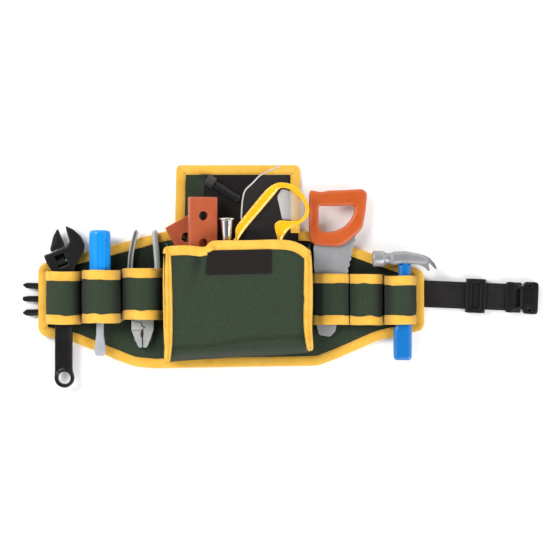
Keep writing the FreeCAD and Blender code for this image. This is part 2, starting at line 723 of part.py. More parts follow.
def make_screwdriver():
    body = new("PartDesign::Body", "driver_handle_turned")
    grip = "driver_radius"
    corners = [("0", "driver_base"), (f"{grip} * 0.55", "driver_base"),
               (f"{grip} * 0.72", "driver_base + 6"), (f"{grip} * 0.72", "driver_base + 10"),
               (grip, "driver_base + 17"), (grip, "driver_top - 6", {"r": 4}),
               (f"{grip} * 0.62", "driver_top", {"r": 2.5}), ("0", "driver_top")]
    revolve(body, "driver_turn", corners)
    flutes = 8
    for number in range(flutes):
        angle = 360 / flutes * (number + 0.5)
        groove = rod(f"flute{number}", 2.6, "driver_top - driver_base",
                     ("0", "driver_base + 22", "0"), VECTOR(0, 1, 0))
        reach = value(grip) + 1.5
        groove.Placement.Base.x = reach * math.cos(math.radians(angle))
        groove.Placement.Base.z = reach * math.sin(math.radians(angle))
        doc.recompute()
    grooves = [doc.getObject(f"flute{number}") for number in range(flutes)]
    handle = cut("driver_handle", body, *grooves)
    seat = rod("driver_seat", "blade_radius", "12", ("0", "driver_base - 1", "0"), VECTOR(0, 1, 0))
    handle = cut("driver_handle_seat", handle, seat)
    place(handle, "driver_x", "0", "tool_z + driver_radius")
    finish_node(handle, "screwdriver_handle")

    shaft = rod("driver_shaft", "blade_radius", "driver_base + 11 - (driver_tip + 14)",
                ("0", "driver_tip + 14", "0"), VECTOR(0, 1, 0))
    tip = [("-blade_radius", "driver_tip + 15"), ("blade_radius", "driver_tip + 15"),
           ("driver_tip_wide / 2", "driver_tip + 9"), ("driver_tip_wide / 2", "driver_tip + 5"),
           ("5", "driver_tip"), ("-5", "driver_tip"),
           ("-driver_tip_wide / 2", "driver_tip + 5"), ("-driver_tip_wide / 2", "driver_tip + 9")]
    blade = prism("driver_flat", tip, "-1.3", "1.3")
    neck = new("Part::Cone", "driver_neck")
    drive(neck, "Radius1", "1.4")
    drive(neck, "Radius2", "blade_radius")
    drive(neck, "Height", "7")
    turn = FreeCAD.Rotation(VECTOR(0, 0, 1), VECTOR(0, 1, 0))
    neck.Placement = FreeCAD.Placement(VECTOR(0, value("driver_tip + 7.2"), 0), turn)
    steel = fuse("driver_blade", shaft, blade, neck)
    place(steel, "driver_x", "0", "tool_z + driver_radius")
    finish_node(steel, "screwdriver_blade")


# ---------------------------------------------------------------- pliers

def pliers_half(name, side, low, high):
    """One half: a bowed handle on one side, a lapped pivot and a jaw on the other side.

    side is -1 for the left handle; low and high bound its layer at the pivot."""
    def across(distance):
        return f"pliers_x + {side} * ({distance})"

    tool_low = "tool_z + 0.4"
    tool_high = "tool_z + 0.4 + pliers_thick"
    handle = [(across("13.7"), 84.8, {"via": (across("21.4"), 52)}), (across("12"), -4),
              (across("3"), -4, {"via": (across("14.4"), 50)}), (across("8.2"), 84.8)]
    grip = prism(f"{name}_grip", handle, f"{tool_low} + 0.8", f"{tool_high} - 0.8")
    disc = new("Part::Cylinder", f"{name}_disc")
    drive(disc, "Radius", "pliers_head / 2 - 0.4")
    drive(disc, "Height", f"({high}) - ({low})")
    place(disc, "pliers_x", "pliers_pivot_y", low)
    gap = "pliers_gap / 2"
    jaw = [(across(f"-{gap}"), "pliers_nose"), (across("-4.2"), "pliers_nose"),
           (across("-pliers_head / 2"), -37.5), (across("-pliers_head / 2"), -25),
           (across(f"-{gap}"), -25)]
    nose = prism(f"{name}_nose", jaw, tool_low, tool_high)
    neck = [(across(f"-{gap}"), -26), (across("-pliers_head / 2"), -26),
            (across("-pliers_head / 2"), "pliers_pivot_y"), (across(f"-{gap}"), "pliers_pivot_y")]
    bridge = prism(f"{name}_bridge", neck, low, high)
    other_side = new("Part::Cylinder", f"{name}_lap_room")
    drive(other_side, "Radius", "pliers_head / 2 + 0.3")
    other_low = high if value(low) < value(tool_low) + 1 else tool_low
    other_low = f"{other_low} - 0.15" if other_low == tool_low else f"{other_low} - 0.01"
    drive(other_side, "Height", "pliers_thick / 2 + 0.3")
    place(other_side, "pliers_x", "pliers_pivot_y", other_low)
    bore = rod(f"{name}_bore", "pliers_rivet + 0.06", "20",
               ("pliers_x", "pliers_pivot_y", "0"), VECTOR(0, 0, 1))
    mouth = rod(f"{name}_grip_hole", "2", "30", ("pliers_x", "-42.5", "0"), VECTOR(0, 0, 1))
    whole = fuse(name, grip, disc, nose, bridge)
    return cut(name, whole, other_side, bore, mouth)


def make_pliers():
    low = "tool_z + 0.4"
    middle = "tool_z + 0.4 + pliers_thick / 2"
    high = "tool_z + 0.4 + pliers_thick"
    lower = pliers_half("pliers_left", -1, low, f"{middle} - 0.15")
    finish_node(lower, "pliers_half_left")
    upper = pliers_half("pliers_right", 1, f"{middle} + 0.15", high)
    finish_node(upper, "pliers_half_right")
    shank = rod("rivet_shank", "pliers_rivet", "pliers_thick", ("pliers_x", "pliers_pivot_y", low),
                VECTOR(0, 0, 1))
    cap = rod("rivet_cap", "pliers_rivet + 1.4", "1", ("pliers_x", "pliers_pivot_y", high),
              VECTOR(0, 0, 1))
    cap.Placement.Base.z += 0.3
    neck = rod("rivet_neck", "pliers_rivet", "0.4", ("pliers_x", "pliers_pivot_y", high),
               VECTOR(0, 0, 1))
    finish_node(fuse("rivet", shank, neck, cap), "pliers_rivet")


# ---------------------------------------------------------------- hand saw

def make_saw():
    body = new("PartDesign::Body", "saw_handle_body")
    outline = [("saw_left", 71), ("saw_left + 5.4", 64.2), (132.3, 67), (147, 76.9),
               (156.6, 84.6), (164, 126.4, {"r": 6}), (156.3, 132.1), (128, 131),
               (108, 129.2), (99, 132.8, {"r": 3}), ("saw_left", 130)]
    pad(body, "saw_pad", outline, "saw_handle_thick")
    hole = [(106.4, 84.6, {"r": 4}), (112, 81.6), (136, 86.6, {"r": 9}), (149.5, 104, {"r": 3}),
            (148.6, 113, {"r": 3}), (104.8, 110.6, {"r": 4})]
    pocket(body, "finger_hole", hole)
    place(body, "0", "0", "tool_z")
    seat_low = "tool_z + 2.8"
    seat = prism("blade_seat", [(80, 50), (170, 50), (170, 72), (80, 72)], seat_low,
                 f"{seat_low} + saw_blade_thick")
    blade_seat = new("Part::Common", "blade_seat_shape")
    blade_seat.Base = seat
    blade_seat.Tool = saw_blade_solid("blade_seat_blade", seat_low)
    finish_node(cut("saw_handle", body, blade_seat), "saw_handle")
    finish_node(saw_blade_solid("saw_blade_plate", seat_low), "saw_blade")


def saw_blade_solid(name, low):
    """The blade with its wavy toothed edge, from the handle down to the tip."""
    teeth = 9
    top = (148, 72)
    base = (124.6, -34)
    corners = [(103, 72), (101.4, -39, {"r": 3}), (105.4, -43), (120.3, -44.4), base]
    for number in range(teeth):
        near = number / teeth
        far = (number + 1) / teeth
        middle = (near + far) / 2
        start = tooth_spot(base, top, near, 0)
        corners[-1] = (start[0], start[1], {"via": tooth_spot(base, top, middle, -2.4)})
        corners.append(tooth_spot(base, top, far, 0))
    corners[-1] = top
    return prism(name, corners, low, f"{low} + saw_blade_thick")


def tooth_spot(base, top, share, inwards):
    """A spot on the toothed edge, bowed outwards a little towards its top."""
    bow = 1.2 * math.sin(math.pi * share)
    return (round(base[0] + (top[0] - base[0]) * share - bow + inwards, 3),
            round(base[1] + (top[1] - base[1]) * share, 3))


# ---------------------------------------------------------------- hammer

def make_hammer():
    axis = "hammer_axis_z"
    face = rod("hammer_face_disc", "hammer_face", "15", (169.4, "hammer_y", axis), VECTOR(1, 0, 0))
    lip = rod("hammer_lip", "hammer_face - 1.6", "4", (184, "hammer_y", axis), VECTOR(1, 0, 0))
    neck = rod("hammer_neck", "5", "12", (187, "hammer_y - 1", axis), VECTOR(1, 0, 0))
    cheek = [(195.6, 43), (200, 41), (214.6, 40.2), (228.5, 45, {"via": (234.2, 41.4)}),
             (237.4, 35.2), (246.9, 37.3, {"via": (236.8, 51.2)}), (214, 58, {"via": (204, 58.4)}),
             (195.6, 55.4)]
    claw = prism("hammer_cheek", cheek, f"{axis} - 8.2", f"{axis} + 8.2")
    split = prism("claw_split", [(226, 30), (260, 30), (260, 62), (236, 52)], f"{axis} - 1.8",
                  f"{axis} + 1.8")
    head = cut("hammer_head", fuse("hammer_head", face, lip, neck, claw), split)
    eye = block("hammer_eye", "hammer_x - 5", "hammer_x + 5", "30", "54",
                f"{axis} - 4.5", f"{axis} + 4.5")
    finish_node(cut("hammer_head_eye", head, eye), "hammer_head")

    body = new("PartDesign::Body", "hammer_handle_body")
    grip = [("-11.3", -72.6, {"r": 5}), ("11.3", -72.6, {"r": 5}), ("10.6", -56),
            ("7.6", 4), ("7.4", 40), ("-7.4", 40), ("-7.6", 4), ("-10.6", -56)]
    pad(body, "grip_pad", grip, "13")
    round_rim_edges(body, "grip_round", "4.5")
    place(body, "hammer_x", "0", f"{axis} - 6.5")
    tenon = block("hammer_tenon", "hammer_x - 5", "hammer_x + 5", "39.8", "53.9",
                  f"{axis} - 4.5", f"{axis} + 4.5")
    finish_node(fuse("hammer_handle", body, tenon), "hammer_handle")


# ---------------------------------------------------------------- planks, nail and bolt

def make_plank(name, thick, holes):
    body = new("PartDesign::Body", name + "_body")
    corners = rectangle("-plank_wide / 2", "-plank_long", "plank_wide / 2", "0", 2)
    pad(body, name + "_pad", corners, thick)
    for number in range(holes):
        circle_pocket(body, f"{name}_hole{number}", "0", f"-22.5 - {number} * plank_pitch",
                      "plank_hole")
    return finish_node(body, name)


def make_planks():
    front = make_plank("plank_front", "front_plank_thick", 3)
    place(front, -35.2, 122.6, 22.3, FreeCAD.Rotation(VECTOR(0, 1, 0), 17))
    rear = make_plank("plank_rear", "rear_plank_thick", 3)
    place(rear, -64.8, 94.2, "tool_z + 0.5", FreeCAD.Rotation(VECTOR(0, 0, 1), 29))


def make_nail():
    body = new("PartDesign::Body", "nail_body")
    corners = [("0", "-nail_long"), ("nail_shank", "-nail_long + 13"), ("nail_shank", "-32"),
               ("nail_neck", "-3.4"), ("nail_head", "-2.4"), ("nail_head", "-0.8", {"r": 0.5}),
               ("nail_head - 1.6", "0"), ("0", "0")]
    revolve(body, "nail_turn", corners)
    place(body, "nail_x", "nail_top", "nail_z", FreeCAD.Rotation(VECTOR(1, 0, 0),
                                                                value("nail_tilt")))
    finish_node(body, "nail")


def make_bolt():
    """A hexagon head and a shank with round thread ridges, lying on the flap."""
    ridges = 11
    pitch = 3
    start = -(value("bolt_head_long") + 2)
    radius = value("bolt_radius")
    core = radius - 1.2
    corners = [(0, "-bolt_head_long + 1"), (core, "-bolt_head_long + 1"), (core, start)]
    for number in range(ridges):
        foot = start - number * pitch
        corners += [(radius, round(foot - pitch * 0.3, 3)),
                    (radius, round(foot - pitch * 0.5, 3)),
                    (core, round(foot - pitch * 0.8, 3)), (core, foot - pitch)]
    last = start - ridges * pitch
    corners += [(core - 1.2, last - 1.4), (0, last - 1.4)]
    body = new("PartDesign::Body", "bolt_shank_body")
    revolve(body, "bolt_turn", corners)
    head = new("Part::Prism", "bolt_head")
    head.Polygon = 6
    drive(head, "Circumradius", "bolt_flats / sqrt(3)")
    drive(head, "Height", "bolt_head_long")
    head.Placement = FreeCAD.Placement(VECTOR(0, -value("bolt_head_long"), 0),
                                       FreeCAD.Rotation(VECTOR(1, 0, 0), -90))
    bolt = fuse("bolt", body, head)
    doc.recompute()
    rest = value("flap_low + 2 * tape_thick + flap_thick + tape_pile + 0.2")
    turn = FreeCAD.Rotation(VECTOR(0, 0, 1), 90 - value("bolt_angle"))
    bolt.Placement = FreeCAD.Placement(VECTOR(-29.5, 145.4, rest + value("bolt_flats") / 2), turn)
    finish_node(bolt, "hex_bolt")


# ---------------------------------------------------------------- safety goggles

def rim_outline(corners):
    """The goggles' outline from the right half's corners, mirrored to the left.

    Each corner after the brow's end carries the middle spot of the arc that leads to it."""
    start = corners[0]
    outline = [(f"-({start[0]})", start[1])]
    walk = list(corners)
    for index, corner in enumerate(walk[:-1]):
        outline.append((corner[0], corner[1], {"via": walk[index + 1][2]}))
    outline.append((walk[-1][0], walk[-1][1], {"via": mirrored(walk[-1][2])}))
    for index in range(len(walk) - 2, 0, -1):
        corner = walk[index]
        outline.append((f"-({corner[0]})", corner[1], {"via": mirrored(corner[2])}))
    return outline


def mirrored(spot):
    return (f"-({spot[0]})", spot[1])


def goggles_place(obj, low):
    """From the goggles' own frame, x along the brow's top edge, to the belt."""
    turn = FreeCAD.Rotation(VECTOR(0, 0, 1), value("goggles_angle"))
    place(obj, "goggles_x", "goggles_y", low, turn)


def make_goggles():
    outer = [("brow_half", "0"),
             ("brow_half + 16", -20, ("brow_half + 11.5", -7)),
             ("brow_half + 5", "2 - eye_tall", ("brow_half + 16", -38)),
             (27, "-eye_tall", (39, "-eye_tall - 3")),
             (0, "-nose_edge - nose_wide", (14, "-nose_edge - nose_wide - 3"))]
    inner = [("brow_half - 2", "-brow_wide"),
             ("brow_half + 11.4", -24, ("brow_half + 6.5", -14)),
             ("brow_half + 1", "6 - eye_tall", ("brow_half + 11", -38)),
             (28, "5.5 - eye_tall", (38, "2.5 - eye_tall")),
             (0, "-nose_edge", (13, "-nose_edge - 3"))]
    rim = prism("goggles_outer", rim_outline(outer), "0", "frame_thick")
    window = prism("goggles_inner", rim_outline(inner), "-5", "20")
    frame = cut("goggles_frame", rim, window)
    goggles_place(frame, "goggles_z + lens_thick + 0.05")
    finish_node(frame, "goggles_frame")

    shield = rim_outline([("brow_half", -2)] + outer[1:])
    shield[0] = (shield[0][0], -2)
    visor = [(-7, -2.5, {"via": (-1, 12)}), (12, 18.7, {"via": (26, 22)}),
             (39, 19, {"via": (57, 13.5)}), (71, 5), (62, -12), (20, -8)]
    pane = fuse("goggles_pane", prism("goggles_shield", shield, "0", "lens_thick"),
                prism("goggles_visor", visor, "0", "lens_thick"))
    goggles_place(pane, "goggles_z")
    finish_node(pane, "goggles_lens")


# ---------------------------------------------------------------- checks and export

def check_document():
    doc.recompute()
    for obj in doc.Objects:
        if "Invalid" in obj.State or "Error" in obj.State:
            raise RuntimeError(f"{obj.Name} did not recompute: {obj.State}")
    for label, obj in nodes.items():
        shape = obj.Shape
        if shape.isNull() or not shape.isValid() or not shape.Solids:
            raise RuntimeError(f"{label} has no valid solid")


def export():
    os.makedirs("parts", exist_ok=True)
    for label, obj in nodes.items():
        obj.Shape.exportStep(f"parts/{label}.step")


fill_sheet()
make_panel()
make_flap()
make_pocket()
make_band("left", ["wrench", "driver", "pliers"])
make_band("right", ["saw", "spare", "hammer"])
make_strap()
make_glide()
make_female_buckle()
make_male_buckle()
trim_panel_binding()
make_wrench()
make_screwdriver()
make_pliers()
make_saw()
make_hammer()
make_planks()
make_nail()
make_bolt()
make_goggles()
check_document()
export()
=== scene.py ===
import math

import bmesh
import bpy
import numpy as np
from mathutils import Matrix, Vector, noise
from mathutils.geometry import delaunay_2d_cdt


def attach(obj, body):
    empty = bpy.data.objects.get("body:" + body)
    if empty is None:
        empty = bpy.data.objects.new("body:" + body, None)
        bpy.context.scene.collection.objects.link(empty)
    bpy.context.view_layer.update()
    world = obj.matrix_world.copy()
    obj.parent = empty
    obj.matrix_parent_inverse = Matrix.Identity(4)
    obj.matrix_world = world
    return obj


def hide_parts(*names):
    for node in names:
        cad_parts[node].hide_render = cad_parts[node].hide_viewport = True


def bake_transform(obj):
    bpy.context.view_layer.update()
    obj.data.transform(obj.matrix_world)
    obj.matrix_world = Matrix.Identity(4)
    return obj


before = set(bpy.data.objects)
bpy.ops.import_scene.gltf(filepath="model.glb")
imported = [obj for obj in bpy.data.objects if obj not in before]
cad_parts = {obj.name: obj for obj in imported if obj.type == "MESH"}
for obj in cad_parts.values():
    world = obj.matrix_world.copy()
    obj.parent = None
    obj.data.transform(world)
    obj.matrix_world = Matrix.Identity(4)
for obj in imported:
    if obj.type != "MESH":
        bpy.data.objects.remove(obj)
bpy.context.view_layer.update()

# A toy tool belt lying on its back, its tools in their loops and its flap laid open.
# Meshes are written in millimetres, in the frame's axes: +X along the belt, +Y towards the open
# flap, +Z up. They are scaled to metres when made. Noise scales, lights and the camera use metres.

MM = 0.001
UP = Vector((0, 0, 1))


# ---------------------------------------------------------------- materials

def principled(name, colour, roughness, **sockets):
    """A material with one Principled shader; sockets are its other constant inputs."""
    material = bpy.data.materials.new(name)
    material.use_nodes = True
    shader = material.node_tree.nodes["Principled BSDF"]
    shader.inputs["Base Color"].default_value = (*colour, 1)
    shader.inputs["Roughness"].default_value = roughness
    for socket, setting in sockets.items():
        shader.inputs[socket.replace("_", " ")].default_value = setting
    return material, material.node_tree, shader


def node(tree, kind, settings=(), **inputs):
    """A shader node with its properties set and its inputs linked or filled."""
    made = tree.nodes.new("ShaderNode" + kind)
    for key, setting in dict(settings).items():
        setattr(made, key, setting)
    for key, source in inputs.items():
        socket = made.inputs[int(key[1:])] if key[1:].isdigit() else made.inputs[key]
        if isinstance(source, bpy.types.NodeSocket):
            tree.links.new(source, socket)
        else:
            socket.default_value = source
    return made


def maths(tree, operation, first, second=0.0):
    """One step of arithmetic."""
    return node(tree, "Math", {"operation": operation}, i0=first, i1=second).outputs[0]


def noise_at(tree, where, scale, detail=3.0, rough=0.55):
    """Cloudy noise at a place."""
    made = node(tree, "TexNoise", Vector=where, Scale=scale, Detail=detail, Roughness=rough)
    return made.outputs["Fac"]


def ramp(tree, factor, stops):
    """A colour ramp; stops are (position, colour)."""
    made = node(tree, "ValToRGB", Fac=factor)
    elements = made.color_ramp.elements
    while len(elements) < len(stops):
        elements.new(0.5)
    for element, (position, colour) in zip(elements, stops):
        element.position = position
        element.color = (*colour, 1)
    return made.outputs["Color"]


def mix(tree, factor, first, second, blend="MIX"):
    made = node(tree, "MixRGB", {"blend_type": blend}, Fac=factor, Color1=first, Color2=second)
    return made.outputs["Color"]


def tinted(tree, tone, light):
    """A colour made darker or lighter by a plain value."""
    return mix(tree, 1.0, tone, light, "MULTIPLY")


def bump(tree, shader, height, distance, strength=1.0):
    made = node(tree, "Bump", Height=height, Distance=distance, Strength=strength)
    tree.links.new(made.outputs["Normal"], shader.inputs["Normal"])


def object_place(tree):
    return node(tree, "TexCoord").outputs["Object"]


def toned(colour, factor):
    """A colour made lighter or darker."""
    return tuple(min(1.0, channel * factor) for channel in colour)


def woven(name, colour, pitch=0.85, fleck=0.35, roughness=0.92):
    """Coarse plain-weave cloth: over-and-under threads, mottling and a few pale flecks."""
    material, tree, shader = principled(name, colour, roughness, Sheen_Weight=0.05,
                                        Sheen_Roughness=0.5, Specular_IOR_Level=0.25)
    place = object_place(tree)
    split = node(tree, "SeparateXYZ", Vector=place)
    turn = 2 * math.pi / (pitch * MM)
    across = maths(tree, "SINE", maths(tree, "MULTIPLY", split.outputs["X"], turn))
    tall = maths(tree, "ADD", split.outputs["Y"], split.outputs["Z"])
    along = maths(tree, "SINE", maths(tree, "MULTIPLY", tall, turn))
    weave = maths(tree, "MULTIPLY", across, along)
    slub = noise_at(tree, node(tree, "Mapping", Vector=place, Scale=(1, 0.16, 1)).outputs[0], 1900)
    mottle = noise_at(tree, place, 420, 4, 0.7)
    height = maths(tree, "ADD", maths(tree, "MULTIPLY", weave, 0.5),
                   maths(tree, "MULTIPLY", slub, 1.4))
    tone = ramp(tree, mottle, [(0.25, toned(colour, 0.84)), (0.55, colour),
                               (0.85, toned(colour, 1.18))])
    # Painted shade and light on the weave: its low spots darker, its high spots lighter.
    tone = tinted(tree, tone, maths(tree, "ADD", 0.86, maths(tree, "MULTIPLY", height, 0.16)))
    pale = noise_at(tree, place, 760, 2, 0.7)
    spots = ramp(tree, pale, [(0.61, (0, 0, 0)), (0.68, (fleck, fleck, fleck))])
    tone = mix(tree, spots, tone, (*toned(colour, 3.6), 1))
    tree.links.new(tone, shader.inputs["Base Color"])
    bump(tree, shader, height, 0.00022, 0.9)
    return material


def ribbed_tape(name, colour, deep, rib=0.9, roughness=0.75, rib_depth=0.00018):
    """Woven binding tape with ribs across it, from the piece's own 'weave' attribute."""
    material, tree, shader = principled(name, colour, roughness, Sheen_Weight=0.15,
                                        Sheen_Roughness=0.4, Specular_IOR_Level=0.3)
    spot = node(tree, "Attribute", {"attribute_name": "weave"}).outputs["Vector"]
    split = node(tree, "SeparateXYZ", Vector=spot)
    ribs = maths(tree, "SINE", maths(tree, "MULTIPLY", split.outputs["X"], 2 * math.pi / rib))
    warp = maths(tree, "SINE", maths(tree, "MULTIPLY", split.outputs["Y"], 2 * math.pi / 1.1))
    height = maths(tree, "ADD", ribs, maths(tree, "MULTIPLY", warp, 0.35))
    place = object_place(tree)
    cloud = noise_at(tree, place, 70, 4, 0.6)
    tone = ramp(tree, cloud, [(0.32, deep), (0.6, colour), (0.8, toned(colour, 1.08))])
    # Painted shade in the grooves between the ribs, painted light on their crests.
    tone = tinted(tree, tone, maths(tree, "ADD", 0.95, maths(tree, "MULTIPLY", height, 0.035)))
    tree.links.new(tone, shader.inputs["Base Color"])
    fuzz = noise_at(tree, place, 2400, 2)
    bump(tree, shader, maths(tree, "ADD", height, maths(tree, "MULTIPLY", fuzz, 0.8)), rib_depth)
    return material


def pile(name, colour):
    """Hook-and-loop tape: short dense pile."""
    material, tree, shader = principled(name, colour, 0.95, Sheen_Weight=0.05,
                                        Sheen_Roughness=0.6, Specular_IOR_Level=0.2)
    place = object_place(tree)
    tuft = noise_at(tree, place, 1500, 4, 0.75)
    patch = noise_at(tree, place, 90, 3)
    tone = ramp(tree, tuft, [(0.35, toned(colour, 0.5)), (0.7, toned(colour, 1.9))])
    tone = mix(tree, maths(tree, "MULTIPLY", patch, 0.5), tone, (*toned(colour, 1.6), 1))
    tree.links.new(tone, shader.inputs["Base Color"])
    bump(tree, shader, tuft, 0.0006)
    return material


def moulded(name, colour, roughness=0.42, grain=0.00003, edge_wear_and_highlight=0.1, metallic=0.0, coat=0.0,
            streak=(1, 1, 1)):
    """Moulded plastic: fine grain, uneven gloss, and lighter edges, partly rubbed wear and partly a
    painted highlight.
    """
    material, tree, shader = principled(name, colour, roughness, Metallic=metallic,
                                        Coat_Weight=coat, Coat_Roughness=0.12,
                                        Specular_IOR_Level=0.45)
    place = node(tree, "Mapping", Vector=object_place(tree), Scale=streak).outputs[0]
    cloud = noise_at(tree, place, 45, 4, 0.6)
    tone = ramp(tree, cloud, [(0.3, toned(colour, 0.9)), (0.7, toned(colour, 1.07))])
    # Edges made lighter: partly rubbed wear, partly a painted highlight.
    edge = node(tree, "NewGeometry").outputs["Pointiness"]
    worn_and_lit_edge = node(tree, "MapRange", i0=edge, i1=0.51, i2=0.57, i3=0.0, i4=edge_wear_and_highlight).outputs[0]
    pale = tuple(channel + (1 - channel) * 0.45 for channel in colour)
    tone = mix(tree, worn_and_lit_edge, tone, (*pale, 1))
    tree.links.new(tone, shader.inputs["Base Color"])
    fine = noise_at(tree, place, 900, 3, 0.6)
    gloss = node(tree, "MapRange", i0=cloud, i1=0.25, i2=0.75, i3=roughness * 0.85,
                 i4=roughness * 1.2).outputs[0]
    tree.links.new(gloss, shader.inputs["Roughness"])
    bump(tree, shader, fine, grain)
    return material


def clear_plastic(name):
    """The lens: thin clear plastic with faint smears."""
    material, tree, shader = principled(name, (0.96, 0.98, 0.99), 0.04, IOR=1.3,
                                        Transmission_Weight=0.9, Alpha=0.05)
    smear = noise_at(tree, object_place(tree), 60, 3)
    tree.links.new(node(tree, "MapRange", i0=smear, i1=0.3, i2=0.8, i3=0.03, i4=0.14).outputs[0],
                   shader.inputs["Roughness"])
    return material


CANVAS = (0.025, 0.039, 0.0215)
YELLOW = (0.92, 0.54, 0.075)
MATERIALS = {
    "canvas_green": woven("canvas", CANVAS),
    "binding_yellow": ribbed_tape("binding", YELLOW, (0.89, 0.465, 0.045)),
    "foam_pad": woven("foam", (0.25, 0.25, 0.25)),
    "lining_black": woven("lining", (0.016, 0.016, 0.017), 0.5, 0.05, 0.8),
    "webbing_black": ribbed_tape("webbing", (0.011, 0.009, 0.009), (0.006, 0.005, 0.005), 1.5,
                                 0.7, 0.0003),
    "grip_tape_black": pile("grip_tape", (0.007, 0.0045, 0.0045)),
    "buckle_black": moulded("buckle_plastic", (0.006, 0.0055, 0.0055), 0.36, 0.00005, 0.03),
    "wrench_black": moulded("wrench_plastic", (0.008, 0.0072, 0.0072), 0.34, 0.00004, 0.04),
    "pin_grey": moulded("pin_steel", (0.45, 0.45, 0.46), 0.3, 0.00002, 0.2, 0.9,
                        streak=(1, 12, 1)),
    "handle_blue": moulded("blue_plastic", (0.0, 0.215, 0.64), 0.26, 0.00001, 0.06, coat=0.12),
    "blade_grey": moulded("blade_plastic", (0.33, 0.345, 0.37), 0.34, 0.00003, 0.15),
    "pliers_silver": moulded("pliers_plastic", (0.36, 0.365, 0.355), 0.36, 0.00003, 0.15, 0.1),
    "saw_orange": moulded("orange_plastic", (0.45, 0.074, 0.007), 0.42, 0.00004, 0.12),
    "saw_silver": moulded("saw_plastic", (0.285, 0.29, 0.305), 0.4, 0.00003, 0.15, 0.15,
                          streak=(1, 0.12, 1)),
    "hammer_silver": moulded("hammer_plastic", (0.27, 0.275, 0.285), 0.32, 0.00003, 0.2, 0.35),
    "plank_terracotta": moulded("terracotta_plastic", (0.37, 0.064, 0.013), 0.5, 0.00005, 0.2,
                                streak=(1, 0.3, 1)),
    "nail_chrome": moulded("chrome", (0.72, 0.72, 0.73), 0.12, 0.00001, 0.0, 1.0),
    "bolt_black": moulded("bolt_plastic", (0.009, 0.009, 0.0095), 0.36, 0.00004, 0.12),
    "goggles_yellow": moulded("yellow_plastic", (0.78, 0.40, 0.002), 0.24, 0.00001, 0.1,
                              coat=0.4),
    "lens_clear": clear_plastic("lens"),
}


def paint_shade_into_cloth(material):
    """Paint shade into a cloth's colour from its 'shade' attribute: darker in creases, in dips and
    under shadows.
    """
    tree = material.node_tree
    socket = tree.nodes["Principled BSDF"].inputs["Base Color"]
    plain = socket.links[0].from_socket
    # 'crease' holds the painted shade, for creases, dips between loops and cast shadows alike.
    crease = node(tree, "Attribute", {"attribute_name": "shade"}).outputs["Fac"]
    tree.links.new(tinted(tree, plain, maths(tree, "SUBTRACT", 1.0, crease)), socket)


for cloth_slot in ("canvas_green", "binding_yellow"):
    paint_shade_into_cloth(MATERIALS[cloth_slot])
for dull_slot in ("buckle_black", "wrench_black", "bolt_black", "webbing_black",
                  "grip_tape_black", "handle_blue"):
    dull = MATERIALS[dull_slot].node_tree.nodes["Principled BSDF"]
    dull.inputs["Specular IOR Level"].default_value = 0.22


def paint_lens_reflection():
    """A painted reflection on the lens: strong at its left, fading to the right."""
    material, tree, shader = principled("painted_lens_reflection", (0.55, 0.545, 0.535), 0.2)
    along = node(tree, "SeparateXYZ", Vector=object_place(tree)).outputs["X"]
    fade = node(tree, "MapRange", i0=along, i1=0.056, i2=0.080, i3=0.72, i4=0.12).outputs[0]
    tree.links.new(fade, shader.inputs["Alpha"])
    return material


# Finishes, painted shade and painted highlights that share a slot with a plainer one
THREAD_YELLOW = ribbed_tape("thread_yellow", (0.85, 0.52, 0.11), (0.7, 0.34, 0.04), 0.5)
THREAD_DARK = ribbed_tape("thread_dark", (0.010, 0.012, 0.010), (0.006, 0.007, 0.006), 0.5)
HAMMER_BLUE = moulded("hammer_blue_plastic", (0.0, 0.13, 0.42), 0.3, 0.00001, 0.08, coat=0.12)
# Painted shade for recesses: a dark grey for the pliers' handle channel and the gaps in their jaws.
PAINTED_RECESS_SHADE = moulded("painted_recess_shade", (0.10, 0.10, 0.10), 0.5, 0.00003, 0.02)
PAINTED_LENS_REFLECTION = paint_lens_reflection()
# The clear lens's edge in light grey: a painted highlight for the light it catches.
PAINTED_LENS_EDGE_HIGHLIGHT = moulded("painted_lens_edge_highlight", (0.40, 0.39, 0.385), 0.25, 0.00001, 0.1)


# ---------------------------------------------------------------- mesh helpers

def piece(name, points, faces, slot, body="belt", stands_for=None, sharp=50, weave=None,
          material=None, weld=False, shade=None):
    """A mesh piece from points in millimetres. It rides on a body and may stand for a CAD node.
    'weave' gives each point's place on the cloth, and 'shade' how much painted shade it gets, in
    creases and in shadows."""
    mesh = bpy.data.meshes.new(name)
    mesh.from_pydata([Vector(point) * MM for point in points], [], faces)
    if weave is not None:
        spots = mesh.attributes.new("weave", "FLOAT_VECTOR", "POINT")
        spots.data.foreach_set("vector", np.array(weave, np.float32).ravel())
    if shade is not None:
        mesh.attributes.new("shade", "FLOAT", "POINT").data.foreach_set("value", shade)
    shaped = bmesh.new()
    shaped.from_mesh(mesh)
    if weld:
        bmesh.ops.remove_doubles(shaped, verts=shaped.verts, dist=0.00001)
    bmesh.ops.recalc_face_normals(shaped, faces=shaped.faces)
    shaped.to_mesh(mesh)
    shaped.free()
    mesh.shade_smooth()
    mesh.set_sharp_from_angle(angle=math.radians(sharp))
    mesh.materials.append(material or MATERIALS[slot])
    made = bpy.data.objects.new(name, mesh)
    bpy.context.scene.collection.objects.link(made)
    if stands_for:
        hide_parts(stands_for)
    if body:
        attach(made, body)
    return made


def declare_sheet(outline):
    """Turn a flat-cut cloth's outline into metres; nothing further is done with it."""
    spots = [Vector(spot[:2]) * MM for spot in outline]


def flat(point, z=0.0):
    return Vector((point[0], point[1], z))


def smooth_step(low, high, x):
    t = min(1.0, max(0.0, (x - low) / (high - low)))
    return t * t * (3 - 2 * t)


def ripple(x, y, size, amount, seed=0.0):
    """Soft uneven cloth, as a height."""
    return noise.noise(Vector((x / size, y / size, seed))) * amount


def run_at(line, index):
    """The way a line runs at one of its points."""
    return line[min(index + 1, len(line) - 1)] - line[max(index - 1, 0)]


def wave(share, power):
    """Half a sine wave over a share from 0 to 1, raised to a power, and 0 outside it."""
    return math.sin(math.pi * share) ** power if 0 < share < 1 else 0


